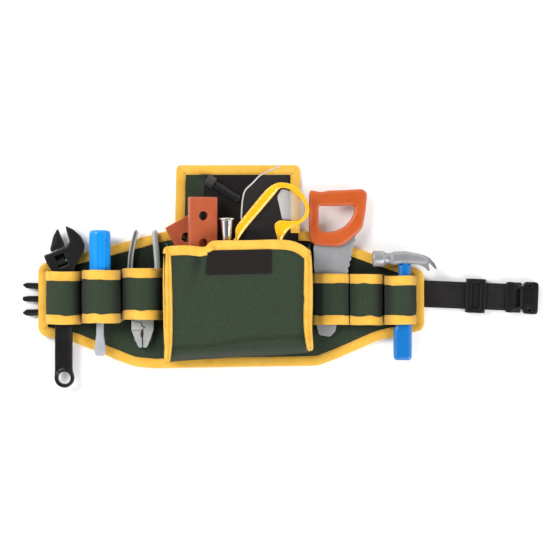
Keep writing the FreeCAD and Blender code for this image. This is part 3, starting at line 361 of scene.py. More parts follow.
def rounded(corners, closed=True, steps=7):
    """Outline points: each corner is (x, y) or (x, y, radius), with the radius as an arc."""
    outline = []
    count = len(corners)
    for index, corner in enumerate(corners):
        here = Vector(corner[:2])
        radius = corner[2] if len(corner) > 2 else 0
        if not radius or (not closed and index in (0, count - 1)):
            outline.append(here)
            continue
        before = (Vector(corners[index - 1][:2]) - here)
        after = (Vector(corners[(index + 1) % count][:2]) - here)
        half = before.angle(after) / 2
        reach = min(radius / math.tan(half), before.length * 0.49, after.length * 0.49)
        start = here + before.normalized() * reach
        end = here + after.normalized() * reach
        for step in range(steps + 1):
            t = step / steps
            outline.append(start * (1 - t) ** 2 + here * 2 * t * (1 - t) + end * t * t)
    return outline


def spaced(points, step, closed=False):
    """The same line with points every 'step' or so."""
    line = [Vector(point) for point in points]
    if closed:
        line.append(line[0].copy())
    lengths = [0.0]
    for first, second in zip(line, line[1:]):
        lengths.append(lengths[-1] + (second - first).length)
    count = max(2, round(lengths[-1] / step))
    even = []
    segment = 0
    for number in range(count + (0 if closed else 1)):
        target = lengths[-1] * number / count
        while segment < len(line) - 2 and lengths[segment + 1] < target:
            segment += 1
        span = lengths[segment + 1] - lengths[segment]
        share = (target - lengths[segment]) / span if span else 0
        even.append(line[segment].lerp(line[segment + 1], min(1, max(0, share))))
    return even


def curve_through(points, closed=False, steps=8):
    """A smooth line through the points."""
    count = len(points)
    line = []
    for index in range(count if closed else count - 1):
        around = [points[(index + shift) % count] if closed
                  else points[min(max(index + shift, 0), count - 1)] for shift in (-1, 0, 1, 2)]
        p0, p1, p2, p3 = (Vector(point) for point in around)
        for step in range(steps):
            t = step / steps
            line.append(((-p0 + 3 * p1 - 3 * p2 + p3) * t ** 3
                         + (2 * p0 - 5 * p1 + 4 * p2 - p3) * t ** 2
                         + (p2 - p0) * t + 2 * p1) / 2)
    if not closed:
        line.append(Vector(points[-1]))
    return line


def arc(x, y, radius, start, end, steps):
    """Points round a centre between two angles, which are in half turns."""
    turns = [math.pi * (start + (end - start) * step / steps) for step in range(steps + 1)]
    return [(x + radius * math.cos(turn), y + radius * math.sin(turn)) for turn in turns]


def inside(spots, outline):
    """Which of the spots lie inside the outline."""
    x, y = spots[:, 0], spots[:, 1]
    within = np.zeros(len(spots), bool)
    for (ax, ay), (bx, by) in zip(outline, np.roll(outline, -1, 0)):
        if ay == by:
            continue
        crosses = (ay > y) != (by > y)
        within ^= crosses & (x < ax + (y - ay) / (by - ay) * (bx - ax))
    return within


def edge_distance(spots, outline):
    """How far each spot is from the outline."""
    best = np.full(len(spots), 1e9)
    for first, second in zip(outline, np.roll(outline, -1, 0)):
        run = second - first
        share = np.clip(((spots - first) @ run) / max(run @ run, 1e-9), 0, 1)
        best = np.minimum(best, np.linalg.norm(spots - first - share[:, None] * run, axis=1))
    return best


def filled(outline, step, holes=()):
    """An outline filled with even triangles: spots, triangles and each spot's edge distance."""
    loops = [np.array([point[:2] for point in loop], float) for loop in (outline, *holes)]

    def within(spots):
        kept = inside(spots, loops[0])
        for loop in loops[1:]:
            kept &= ~inside(spots, loop)
        return kept

    def depth(spots):
        return np.min([edge_distance(spots, loop) for loop in loops], axis=0)

    low, high = loops[0].min(0), loops[0].max(0)
    columns = np.arange(low[0], high[0], step)
    rows = np.arange(low[1], high[1], step * 0.87)
    grid = np.array([(x + (step / 2 if number % 2 else 0), y) for number, y in enumerate(rows)
                     for x in columns])
    grid = grid[within(grid)]
    if len(grid):
        grid = grid[depth(grid) > step * 0.55]
    edges, start = [], 0
    for loop in loops:
        count = len(loop)
        edges += [(start + index, start + (index + 1) % count) for index in range(count)]
        start += count
    spots = [Vector(spot) for spot in np.vstack(loops + [grid.reshape(-1, 2)])]
    found, _, triangles = delaunay_2d_cdt(spots, edges, [], 0, 1e-6)[:3]
    found = np.array([tuple(spot) for spot in found])
    middles = np.array([found[list(triangle)].mean(0) for triangle in triangles])
    keep = within(middles)
    triangles = [list(triangle) for triangle, kept in zip(triangles, keep) if kept]
    return found, triangles, depth(found)


def thick_sheet(name, outline, step, top, thick, slot, shade=None, **options):
    """A cloth or pad with an upper surface top(x, y, distance to the edge) and a thickness.
    'shade' is the same kind of function, for how much painted shade it gets."""
    spots, triangles, depth = filled(outline, step)
    upper = [(x, y, top(x, y, d)) for (x, y), d in zip(spots, depth)]
    lower = [(x, y, z - thick) for x, y, z in upper]
    count = len(upper)
    faces = [tuple(triangle) for triangle in triangles]
    faces += [tuple(index + count for index in reversed(triangle)) for triangle in triangles]
    sides = dict.fromkeys((first, second) for triangle in triangles
                          for first, second in zip(triangle, triangle[1:] + triangle[:1]))
    faces += [(second, first, first + count, second + count) for first, second in sides
              if (second, first) not in sides]
    if shade:
        options["shade"] = [shade(x, y, d) for (x, y), d in zip(spots, depth)] * 2
    return piece(name, upper + lower, faces, slot, **options)


def tube_faces(rings, size, start=0, closed=False, capped=True):
    """Faces between rings of 'size' points each, with a cap on each open end."""
    faces = []
    for ring in range(rings if closed else rings - 1):
        here, there = start + ring * size, start + (ring + 1) % rings * size
        for spot in range(size):
            after = (spot + 1) % size
            faces.append((here + spot, here + after, there + after, there + spot))
    if capped and not closed:
        last = start + (rings - 1) * size
        faces += [tuple(range(start, start + size)), tuple(reversed(range(last, last + size)))]
    return faces


def sweep(name, frames, section, slot, closed=False, shade=None, **options):
    """A closed section of (inward, outward) points carried along frames of
    (place, inward direction, outward direction); section may be a function of the share."""
    points, weave = [], []
    travelled = 0.0
    for index, (place, inward, outward) in enumerate(frames):
        if index:
            travelled += (place - frames[index - 1][0]).length
        ring = section(index / (len(frames) - 1)) if callable(section) else section
        for across, lift in ring:
            points.append(place + inward * across + outward * lift)
            weave.append((travelled, across, 0))
    if shade:
        options["shade"] = [shade(place) for place, _, _ in frames for _ in ring]
    return piece(name, points, tube_faces(len(frames), len(ring), closed=closed), slot,
                 weave=weave, **options)


def edge_frames(points, closed, side=1, lift=None):
    """Frames along a flat line: inward is to the line's left for side 1; lift gives its height."""
    frames = []
    count = len(points)
    for index, point in enumerate(points):
        before = points[index - 1] if closed or index else point
        after = points[(index + 1) % count] if closed or index < count - 1 else point
        run = flat(after) - flat(before)
        inward = UP.cross(run).normalized() * side
        frames.append((flat(point, lift(point) if lift else 0), inward, UP))
    return frames


def grid_rim(columns, rows):
    """The outer spots of a grid of columns by rows cells, in turn."""
    wide = columns + 1
    rim = list(range(wide)) + [row * wide + columns for row in range(1, rows + 1)]
    rim += [rows * wide + column for column in range(columns - 1, -1, -1)]
    return rim + [row * wide for row in range(rows - 1, 0, -1)]


def grid_faces(columns, rows):
    """Faces of a two-layer grid of columns by rows cells, closed round its rim."""
    wide = columns + 1
    layer = wide * (rows + 1)
    faces = []
    for row in range(rows):
        for column in range(columns):
            a = row * wide + column
            quad = (a, a + 1, a + wide + 1, a + wide)
            faces += [quad, tuple(spot + layer for spot in reversed(quad))]
    rim = grid_rim(columns, rows)
    return faces + [(second, first, first + layer, second + layer)
                    for first, second in zip(rim, rim[1:] + rim[:1])]


def tape_section(width, over, under, low, high, puff=0.7):
    """A folded tape's section: over the front by 'width', round the edge, under the back."""
    skin, steps = 0.8, 8
    top = [(width * (1 - step / steps), high + over + puff * wave(step / steps, 0.6))
           for step in range(steps + 1)]
    bend = [(-skin, high + over * 0.4), (-skin * 1.35, (low + high) / 2), (-skin, low)]
    bottom = [(0, low - under), (width * 0.9, low - under), (width * 0.9, low - under + 0.3),
              (0.3, low + 0.2), (0.3, high - 0.2), (width, high - 0.1)]
    return top + bend + bottom


# ---------------------------------------------------------------- stitching

threads = {}
# Rings of a stitch: share of its length, radius, rise
THREAD_RINGS = ((-0.5, 0.12, -0.25), (-0.3, 0.26, 0.08), (0, 0.3, 0.16), (0.3, 0.26, 0.08),
                (0.5, 0.12, -0.25))
THREAD_SIDES = 6


def stitch_line(frames, inset, lift, colour, body="belt", pitch=3.6, length=2.6):
    """Rows of short thread stitches along frames, kept to be made as one piece per colour."""
    spots = spaced([place + inward * inset + outward * lift
                    for place, inward, outward in frames], pitch)
    for index, (first, second) in enumerate(zip(spots, spots[1:])):
        if (second - first).length >= 0.5:
            outward = frames[min(len(frames) - 1, int(index / len(spots) * len(frames)))][2]
            threads.setdefault((body, colour), []).append(
                ((first + second) / 2, (second - first).normalized(), outward, length))


def add_stitch(points, faces, weave, middle, along, outward, length):
    """One bowed capsule of thread, a ring at a time."""
    side = along.cross(outward).normalized()
    faces += tube_faces(len(THREAD_RINGS), THREAD_SIDES, len(points))
    for share, radius, rise in THREAD_RINGS:
        for corner in range(THREAD_SIDES):
            turn = 2 * math.pi / THREAD_SIDES * corner
            points.append(middle + along * share * length + side * math.cos(turn) * radius
                          + outward * (math.sin(turn) * radius + rise))
            weave.append((share * length, corner, 0))


def make_stitches():
    """All the thread, one piece for each body and colour."""
    for (body, colour), stitches in threads.items():
        points, faces, weave = [], [], []
        for stitch in stitches:
            add_stitch(points, faces, weave, *stitch)
        slot = "binding_yellow" if colour == "yellow" else "canvas_green"
        piece(f"stitching_{body}_{colour}", points, faces, slot, body, weave=weave,
              material=THREAD_YELLOW if colour == "yellow" else THREAD_DARK)


# ---------------------------------------------------------------- padded panel

TAPE = 10.5  # how far a folded tape reaches in from its edge
FRONT = 5.2  # the height of the panel's front at its rim
PANEL_CORNERS = [(-231.6, 41, 11), (-231.6, -42, 11), (-190, -50.5, 60), (-118, -80, 60),
                 (-92, -82, 30), (104, -79, 40), (128, -70, 50), (178, -48, 70),
                 (231.6, -36, 9), (231.6, 33, 10), (170, 54, 60), (96, 81, 30), (-76, 82, 30)]


def tape_rise(point):
    """The panel's binding rides up over the ends of the loop bands."""
    reach = max(0.0, abs(point[0]) - 214) / 12
    return 1.3 * min(1.0, reach)


def make_panel():
    """The padded panel: front cloth, foam, lining and the tape round its edge."""
    outline = spaced(rounded(PANEL_CORNERS), 3.0, closed=True)
    inner = [place + inward * 1.0 for place, inward, _ in edge_frames(outline, True)]

    def front(x, y, d):
        return FRONT + 0.75 * (1 - math.exp(-d / 9)) + ripple(x, y, 26, 0.35)

    # Painted shadow on the front cloth: above and below the bands, and beside the right end of the
    # pocket's mouth.
    def shadow(x, y, d):
        above = smooth_step(22, 34, y) * (1 - 0.55 * smooth_step(44, 76, y))
        beside = max(smooth_step(-212, -196, x) * smooth_step(-70, -90, x),
                     smooth_step(92, 100, x) * smooth_step(214, 196, x))
        below = 0.5 * smooth_step(-18, -26, y) * smooth_step(-46, -32, y)
        mouth = smooth_step(56, 64, x) * smooth_step(102, 97, x) * smooth_step(52, 58, y)
        return max(0.72 * max(above * beside, below), 0.9 * mouth)

    cloth = thick_sheet("panel_front_cloth", inner, 4.2, front, 0.8, "canvas_green",
                        stands_for="panel_canvas", shade=shadow)
    declare_sheet(inner)
    make_lining()
    foam = thick_sheet("panel_foam_pad", inner, 8, lambda x, y, d: 4.35, 3.4, "foam_pad",
                       stands_for="panel_foam")
    frames = edge_frames(outline, True, 1, tape_rise)
    sweep("panel_binding_tape", frames, tape_section(TAPE, 0.55, 0, 0.25, FRONT), "binding_yellow",
          closed=True, stands_for="panel_binding")
    stitch_line(frames + frames[:1], TAPE - 1.6, FRONT + 0.95, "yellow")
    stitch_line(frames + frames[:1], TAPE - 2.2, 0.05, "yellow")


def make_lining():
    """The quilted back, notched where the male buckle's base lies."""
    notch_top, notch_base, notch_end = 20.6, -19.4, -195.5
    corners = [(-221.5, 36, 8), (-221.5, notch_top), (notch_end, notch_top, 3),
               (notch_end, notch_base, 3), (-221.5, notch_base), (-221.5, -33, 8),
               (-96, -72), (116, -68, 20), (222, -28, 6), (222, 26, 6), (98, 72), (-78, 72)]
    outline = spaced(rounded(corners), 4.0, closed=True)
    quilt = 42.0

    def back(x, y, d):
        channel = min(abs((x / quilt) % 1 - 0.5), abs((y / quilt + 0.5) % 1 - 0.5))
        dip = 0.75 * math.exp(-(channel * quilt / 3.0) ** 2)
        return 0.05 + dip + 0.3 * math.exp(-d / 4)

    def top(x, y, d):
        return back(x, y, d) + 0.7

    lining = thick_sheet("panel_back_lining", outline, 3.4, top, 0.7, "lining_black",
                         stands_for="panel_lining")
    declare_sheet(outline)
    for row in (-1, 0, 1):
        line = spaced([Vector((x, row * quilt, 0)) for x in (-190, 190)], 10)
        reach = 150 if row else 200
        rows = [(place, Vector((0, 1, 0)), -UP) for place in line if abs(place.x) < reach]
        stitch_line(rows, 0, -0.65, "dark")


# ---------------------------------------------------------------- flap

FLAP = [(-67, 84.4), (-65.2, 161, 4), (82, 161, 5), (82, 84.4)]


def make_flap():
    """The flap laid open: cloth, tape on three sides, grip patch and its fold."""
    edge = spaced(rounded(FLAP, closed=False), 2.5)
    frames = edge_frames(edge, False, -1)
    cloth_edge = [(place + inward * 1.0).xy for place, inward, _ in frames]

    def top(x, y, d):
        return 2.9 + 0.5 * (1 - math.exp(-d / 10)) + ripple(x, y, 22, 0.5, 4.0)

    # The flap cloth gets painted shade along its edge, next to the tape.
    cloth = thick_sheet("flap_cloth", cloth_edge, 4.0, top, 1.4, "canvas_green", body="flap",
                        stands_for="flap_canvas",
                        shade=lambda x, y, d: 0.35 * math.exp(-(d / 8) ** 2))
    declare_sheet(cloth_edge)
    sweep("flap_binding_tape", frames, tape_section(TAPE, 0.35, 0, 0.8, 3.0), "binding_yellow",
          body="flap", stands_for="flap_binding")
    stitch_line(frames, TAPE - 1.6, 3.95, "yellow", "flap")
    patch = rounded([(-37, 92, 3), (70.6, 92, 2), (70.6, 150, 2), (-31, 150, 3)])

    def pad_top(x, y, d):
        return 4.0 + 0.25 * (1 - math.exp(-d / 3)) + ripple(x, y, 18, 0.4, 9.0)

    thick_sheet("flap_grip_patch", spaced(patch, 3, True), 3.6, pad_top, 0.9,
                "grip_tape_black", body="flap", stands_for="flap_hook_tape")
    make_fold("flap_fold_cloth", -66, 81, 68.5, 96, 0, "canvas_green", "flap_hinge_strip")
    make_fold("flap_fold_patch", -37, 81, 68.5, 94.5, 0.7, "grip_tape_black")
    make_fold("flap_fold_tape_left", -67.4, -56.6, 74, 95, 1.0, "binding_yellow")
    make_fold("flap_fold_tape_right", 71.8, 82.4, 80, 95, 1.2, "binding_yellow")


def make_fold(name, left, right, low, high, lift, slot, stands_for=None):
    """The cloth that runs from the panel on to the flap and bends where it folds."""
    columns, rows = 50, 16
    points = []
    for layer in (0.0, -0.8):
        for row in range(rows + 1):
            y = low + (high - low) * row / rows
            z = 7.3 - 3.5 * smooth_step(83, 95, y) + lift + layer
            for column in range(columns + 1):
                x = left + (right - left) * column / columns
                points.append((x, y, z + ripple(x, y, 20, 0.25, 2.0)))
    cloth = piece(name, points, grid_faces(columns, rows), slot, body=None,
                  stands_for=stands_for, sharp=70)
    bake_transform(cloth)


# ---------------------------------------------------------------- loop bands

LEFT_LOOPS = [(-221.4, -182.6, 16.4), (-177.8, -134.2, 29.4), (-129.8, -82.6, 24.5)]
RIGHT_LOOPS = [(99.4, 140.2, 10.0), (144.6, 181.4, 11.0), (186.0, 221.6, 23.0)]
CLOTH = 1.2  # the bands' thickness


def arch(left, right, tall):
    """A loop's inside, from foot to foot: short upright legs and an arc over the top."""
    lean, shoulder = 0.6, 7.0
    start, end = Vector((left + lean, shoulder)), Vector((right - lean, shoulder))
    half = (end - start).length / 2
    rise = tall - shoulder
    radius = (half * half + rise * rise) / (2 * rise)
    centre = Vector(((left + right) / 2, tall - radius))
    sweep_angle = math.atan2(half, radius - rise) if rise < radius else \
        math.pi - math.atan2(half, rise - radius)
    points = [Vector((left, 0)), Vector((left + lean * 0.6, 3.5))]
    steps = 18
    for step in range(steps + 1):
        turn = math.pi / 2 + sweep_angle * (1 - 2 * step / steps)
        points.append(centre + Vector((math.cos(turn), math.sin(turn))) * radius)
    points += [Vector((right - lean * 0.6, 3.5)), Vector((right, 0))]
    return points


def band_line(loops, start, end):
    """The band's inside face as (x, z) spots with an outward direction for each."""
    line = [Vector((start, 0.2))]
    for loop in loops:
        line += arch(*loop)
    line.append(Vector((end, 0.2)))
    line = spaced(line, 1.6)
    for _ in range(2):
        middle = [(a + 2 * b + c) / 4 for a, b, c in zip(line, line[1:], line[2:])]
        line = [line[0], *middle, line[-1]]
    frames = []
    for index, point in enumerate(line):
        run = run_at(line, index)
        outward = Vector((-run.y, 0, run.x)).normalized()
        frames.append((Vector((point.x, 0, point.y + FRONT)) + outward * 0.3, outward))
    return frames


def painted_dip_shade(loops):
    """A function for how much painted shade a spot on a band gets, from 0 to 1: in the dips between
    loops, and in the pocket's painted shadow on the right band's first loop.
    """
    def dip(place):
        depths = [math.exp(-(max(0, place.x - left) / 7) ** 2) * (0.25 if left < -215 else 1)
                  + math.exp(-(max(0, right - place.x) / 7) ** 2)
                  for left, right, _ in loops if left - 3 < place.x < right + 3]
        deep = max(depths or [0.6])
        # Weaker painted shade at the seam between the right band's first two loops.
        if 130 < place.x < 156:
            deep *= 0.4
        # Painted shadow of the pocket over the left side of the right band's first loop.
        if 96 < place.x < 112:
            deep = max(deep, 0.9 * smooth_step(113, 108, place.x))
        return min(1, deep)
    return dip


def band_cloth(line, top_edge, base_edge):
    """The two faces of a band as rows of points, swelling a little over its tools."""
    rows = 16
    points = []
    for thick in (CLOTH, 0):
        for row in range(rows + 1):
            share = row / rows
            for place, outward in line:
                top, base = top_edge(place.x), base_edge(place.x)
                y = top + (base - top) * share
                swell = 0.7 * math.sin(math.pi * share) + ripple(place.x, y, 14, 0.7, 3.0)
                lift = max(-0.1, swell * min(1, max(0, place.z - FRONT - 2) / 6))
                points.append(place + outward * (lift + thick) + Vector((0, y, 0)))
    return points, rows


def make_band(side, loops, start, end, top_edge, base_edge, seams):
    """One looped band with its cloth, two folded tapes and the sewn dividers."""
    line = band_line(loops, start, end)
    dip = painted_dip_shade(loops)
    points, rows = band_cloth(line, top_edge, base_edge)
    # The cloth gets painted shade in the dips between its loops, and its tapes a lighter painted
    # shade.
    cloth = piece(f"{side}_loop_cloth", points, grid_faces(len(line) - 1, rows), "canvas_green",
                  stands_for=f"{side}_loop_band", sharp=80,
                  shade=[0.82 * dip(place) for _ in range(2 * (rows + 1)) for place, _ in line])
    for edge, level, inward in (("top", top_edge, -1), ("bottom", base_edge, 1)):
        frames = [(place + Vector((0, level(place.x), 0)), Vector((0, inward, 0)), outward)
                  for place, outward in line]
        sweep(f"{side}_{edge}_band_tape", frames, tape_section(TAPE, 0.35, 0, -0.15, CLOTH, 0.5),
              "binding_yellow", stands_for=f"{side}_band_binding_{edge}", sharp=70,
              shade=lambda place: 0.36 * dip(place))
        stitch_line(frames, TAPE - 1.5, CLOTH + 0.65, "yellow")
    for seam in seams:
        frames = [(Vector((seam, y, FRONT + CLOTH + 0.6)), Vector((1, 0, 0)), UP)
                  for y in (top_edge(seam) - 1, base_edge(seam) + 1)]
        for shift in (-0.7, 0.7):
            stitch_line(frames, shift, 0, "dark", pitch=3.0, length=2.2)


def make_bands():
    """Both looped bands, whose edges wander a little as sewn tape does."""
    def left_top(x):
        return 32.6 + 1.6 * smooth_step(-184, -176, x) + 2.2 * smooth_step(-136, -127, x) \
            + ripple(x, 0, 19, 0.8)

    def left_base(x):
        return -29 + 1.8 * smooth_step(-184, -176, x) + 4.0 * smooth_step(-136, -127, x) \
            + ripple(x, 5, 19, 0.8)

    def right_top(x):
        return 29.6 - 2.2 * smooth_step(182, 188, x) + ripple(x, 9, 19, 0.7)

    def right_base(x):
        return -29.6 + 0.6 * smooth_step(182, 188, x) + ripple(x, 14, 19, 0.7)

    make_band("left", LEFT_LOOPS, -224, -80.4, left_top, left_base, (-222.6, -180.2, -132))
    make_band("right", RIGHT_LOOPS, 96.4, 223.8, right_top, right_base, (142.4, 183.7, 222.6))


# ---------------------------------------------------------------- pocket

POCKET_LEFT, POCKET_RIGHT = -79.2, 95.2
POCKET_FRONT = 40.0
MOUTH = [(-79.4, 55), (-78.4, 60.4), (-74, 62.6), (-52, 63.6), (-31, 61.8), (-25, 66.5),
         (-18, 69.2), (20, 69.6), (52, 70.4), (72, 69), (86, 63.5), (95.2, 56)]
POCKET_RIM = [[(95.2, 56), (93, 20), (92.6, -20), (93.6, -50), (96, -63.6)],
              [(96, -63.6), (60, -67), (0, -70), (-60, -74), (-79, -76.5)],
              [(-79, -76.5), (-76.5, -60), (-78, -20), (-78.6, 30), (-79.4, 55)]]


def pocket_base(x):
    """Where the pocket's front meets the panel below."""
    return -72 + 9.6 * (x + 79) / 174


def pocket_height(x, y):
    """The pocket's front: a soft swell, turned down over a rounded bottom."""
    across = (x - 8) / 88
    swell = 1.5 + 4.5 * max(0.0, 1 - across ** 2) * (0.6 + 0.4 * math.cos(y / 60))
    base = pocket_base(x)
    below = min(1.0, max(0.0, (base + 13 - y) / 14))
    drop = 34.5 * (1 - math.sqrt(1 - below ** 2))
    crease = -1.6 * math.exp(-((y - base - 17 - 3 * math.sin(x / 30)) / 3.2) ** 2)
    fold = -2.6 * math.exp(-((x + 46 - (y - 20) * 0.16) / 7) ** 2) * smooth_step(-30, 40, y)
    sag = -1.4 * math.exp(-((x - 62 + y * 0.2) / 12) ** 2) * smooth_step(-50, 0, y)
    soft = ripple(x, y, 34, 1.8, 6.0) + ripple(x, y, 13, 0.7, 7.0)
    return POCKET_FRONT + swell - drop + crease + fold + sag + soft * smooth_step(-76, -60, y)


def pocket_shadow(x, y, d):
    """Painted shade on the pocket's front: in its crease, in its fold and along its tapes."""
    crease = math.exp(-((y - pocket_base(x) - 17 - 3 * math.sin(x / 30)) / 2.2) ** 2)
    fold = 0.5 * math.exp(-((x + 43 - (y - 20) * 0.16) / 5) ** 2) * smooth_step(10, 50, y)
    return min(0.8, 0.35 * crease + fold + 0.35 * math.exp(-(max(0, d - 3) / 7) ** 2))


def make_pocket():
    """The pocket's front with its mouth tape, side tapes, gussets and patch."""
    mouth = spaced(curve_through(MOUTH), 3)
    outline = mouth[:-1]
    for run in POCKET_RIM:
        outline += spaced(curve_through(run), 3)[:-1]
    cloth = thick_sheet("pocket_front_cloth", outline, 3.2, lambda x, y, d: pocket_height(x, y),
                        1.2, "canvas_green", stands_for="pocket_front", sharp=60,
                        shade=pocket_shadow)
    declare_sheet(outline)
    frames = edge_frames(mouth, False, -1, lambda point: pocket_height(point[0], point[1] - 3))
    sweep("pocket_mouth_tape", frames, tape_section(TAPE, 0.5, 0.6, -1.3, 0.1, 0.9),
          "binding_yellow", stands_for="pocket_mouth_binding")
    stitch_line(frames, TAPE - 1.5, 0.95, "yellow")
    left = [(-73.6, 63), (-73.2, 40), (-72.4, -10), (-72.2, -50), (-74.4, -74.5)]
    right = [(91.6, 60), (92.2, 40), (92.4, 0), (92.2, -35), (95.4, -61)]
    make_pocket_side("left", left, 8.2, 3.4, 7, POCKET_LEFT, -1)
    make_pocket_side("right", right, 5.4, 5.4, 5, POCKET_RIGHT, 1)
    make_loop_patch()


def side_section(outer, inner, sink):
    """Two sewn tape halves seen from the front, with a groove at their seam."""
    def section(share):
        ease = 0.45 + 0.55 * wave(share, 0.35)
        out, within = outer * ease, inner * ease
        top = [(-out, -sink), (-out * 0.8, -sink * 0.35), (-out * 0.45, 0.7), (-out * 0.15, 0.9),
               (0, -0.2), (within * 0.2, 0.8), (within * 0.6, 0.9), (within, 0.1)]
        return top + [(across, lift - 0.8) for across, lift in reversed(top)]
    return section


def make_pocket_side(name, route, outer, inner, sink, edge_x, side):
    """One upright edge of the pocket: its folded tape and the gusset behind it."""
    line = spaced(curve_through(route), 2.5)
    frames = []
    for index, point in enumerate(line):
        inward = UP.cross(flat(run_at(line, index))).normalized()
        if inward.x * side > 0:
            inward = -inward
        height = pocket_height(point.x, max(point.y, -60)) + 0.6
        frames.append((flat(point, height), inward, UP))
    sweep(f"pocket_{name}_edge_tape", frames, side_section(outer, inner, sink),
          "binding_yellow", stands_for=f"pocket_edge_binding_{name}", sharp=60)
    stitch_line(frames, inner - 0.9, 0.75, "yellow")
    stitch_line(frames, -1.6, 0.95, "yellow")
    make_gusset(name, edge_x, side, route[0][1], route[-1][1])


def make_gusset(name, edge_x, side, top_y, base_y):
    """A side wall with a soft inward fold."""
    tall, long = 14, 40
    points = []
    for layer in (0, 1):
        for row in range(tall + 1):
            share = row / tall
            z = FRONT + 0.4 + (POCKET_FRONT - 2.6 - FRONT) * share
            reach = top_y - 4 + 12 * (1 - share) ** 1.5
            fold = 3.2 * math.sin(math.pi * share) ** 2 + layer
            for column in range(long + 1):
                y = base_y + 3 + (reach - base_y - 3) * column / long
                points.append((edge_x - side * fold + ripple(y, z, 18, 0.8, 8.0), y, z))
    cloth = piece(f"pocket_{name}_gusset_cloth", points, grid_faces(long, tall), "canvas_green",
                  stands_for=f"pocket_gusset_{name}", sharp=70)
    declare_sheet([points[spot][1:] for spot in grid_rim(long, tall)])


def make_loop_patch():
    """The loop tape sewn under the mouth, for the flap to close on."""
    patch = spaced(rounded([(-30, 29.5, 2), (49, 31.5, 2), (49, 60.2, 1), (-27, 58.4, 1)]), 3, True)
    thick_sheet("pocket_grip_patch", patch, 3.0,
                lambda x, y, d: pocket_height(x, y) + 0.95 + ripple(x, y, 12, 0.3, 5.0), 0.9,
                "grip_tape_black", stands_for="pocket_loop_tape")
    frames = edge_frames(patch, True, 1, lambda point: pocket_height(*point) + 1.2)
    stitch_line(frames + frames[:1], 1.5, 0, "dark")


# ---------------------------------------------------------------- hard parts

def rim_rings(loop, profile):
    """A loop's rounded rim as rings of points, each (inset, height) of the profile in turn."""
    ways = []
    for index, spot in enumerate(loop):
        before = (spot - loop[index - 1]).normalized()
        after = (loop[(index + 1) % len(loop)] - spot).normalized()
        middle = Vector((-before.y - after.y, before.x + after.x))
        ways.append(middle / max(0.6, middle.length_squared / 2)
                    if middle.length > 0.2 else middle)
    return [[(*(spot + way * inset), z) for spot, way in zip(loop, ways)]
            for inset, z in profile]


def slab(name, outline, low, high, edge, slot, body, holes=(), top=None, step=2.4, pitch=1.0,
         placed=None, **options):
    """A flat solid with rounded rims; top(x, y, distance) raises or sinks its upper face, and
    placed is a matrix that sets it in the belt's frame."""
    def turned_to(loop, sign):
        loop = spaced([Vector(point[:2]) for point in loop], pitch, True)
        area = sum(a.x * b.y - b.x * a.y for a, b in zip(loop, loop[1:] + loop[:1]))
        return loop if area * sign > 0 else loop[::-1]

    turns = [math.pi / 8 * part for part in range(5)]
    profile = [(edge * (1 - math.sin(turn)), low + edge * (1 - math.cos(turn)))
               for turn in turns]
    profile += [(inset, low + high - z) for inset, z in reversed(profile)]
    points, faces, insets = [], [], []
    for loop in [turned_to(outline, 1)] + [turned_to(hole, -1) for hole in holes]:
        rings = rim_rings(loop, profile)
        insets.append([spot[:2] for spot in rings[0]])
        faces += tube_faces(len(rings), len(loop), len(points), capped=False)
        for ring in rings:
            points += ring
    for z, rise in ((low, None), (high, top)):
        spots, triangles, depth = filled(insets[0], step, insets[1:])
        start = len(points)
        points += [(x, y, z + (rise(x, y, d) if rise else 0))
                   for (x, y), d in zip(spots, depth)]
        faces += [tuple(start + spot for spot in triangle) for triangle in triangles]
    if placed:
        points = [placed @ Vector(point) for point in points]
    return piece(name, points, faces, slot, body, weld=True, **options)


def turned(name, start, axis, stations, slot, body, shape=None, sides=40, **options):
    """A lathe shape along an axis; shape(turn, distance) scales its radius round the axis."""
    start, axis = Vector(start), Vector(axis).normalized()
    across = axis.cross(UP).normalized()
    upward = across.cross(axis)
    points = []
    for distance, radius in stations:
        for side in range(sides):
            turn = 2 * math.pi * side / sides
            reach = radius * (shape(turn, distance) if shape else 1)
            points.append(start + axis * distance
                          + (across * math.cos(turn) + upward * math.sin(turn)) * reach)
    return piece(name, points, tube_faces(len(stations), sides), slot, body, **options)


def bar(name, route, section, slot, body, **options):
    """A curved bar of one section, with rounded ends."""
    line = spaced(curve_through([Vector(spot) for spot in route]), 1.5)
    frames = edge_frames(line, False)
    length = len(line) - 1

    def shrunk(share):
        end = min(share, 1 - share) * length * 1.5 / 3.0
        scale = math.sqrt(max(0.02, 1 - (1 - min(1, end)) ** 2))
        middle = sum(lift for _, lift in section) / len(section)
        return [(across * scale, middle + (lift - middle) * (0.35 + 0.65 * scale))
                for across, lift in section]

    return sweep(name, frames, shrunk, slot, body=body, **options)


def make_planks():
    """Two toy planks, each with a row of bolt holes."""
    outline = rounded([(-17, -110, 1.6), (17, -110, 1.6), (17, 0, 1.6), (-17, 0, 1.6)])
    holes = [arc(0, y, 5.6, 0, 2, 32)[:-1] for y in (-22.5, -55.5, -88.5)]
    front = Matrix.Translation((-35.2, 122.6, 22.3)) @ Matrix.Rotation(math.radians(17), 4, "Y")
    rear = Matrix.Translation((-64.8, 94.2, 7.1)) @ Matrix.Rotation(math.radians(29), 4, "Z")
    for name, thick, placed in (("plank_front", 10, front), ("plank_rear", 6, rear)):
        slab(name + "_block", outline, 0, thick, 0.8, "plank_terracotta", name, holes=holes,
             placed=placed, stands_for=name, sharp=35,
             top=lambda x, y, d: -0.25 * smooth_step(0, 2.5, d))


WRENCH_TILT = math.radians(21.8)
WRENCH_EYE = Vector((-200.4, -94.2))
WORM = Vector((-204.4, 44.9, 11.6))


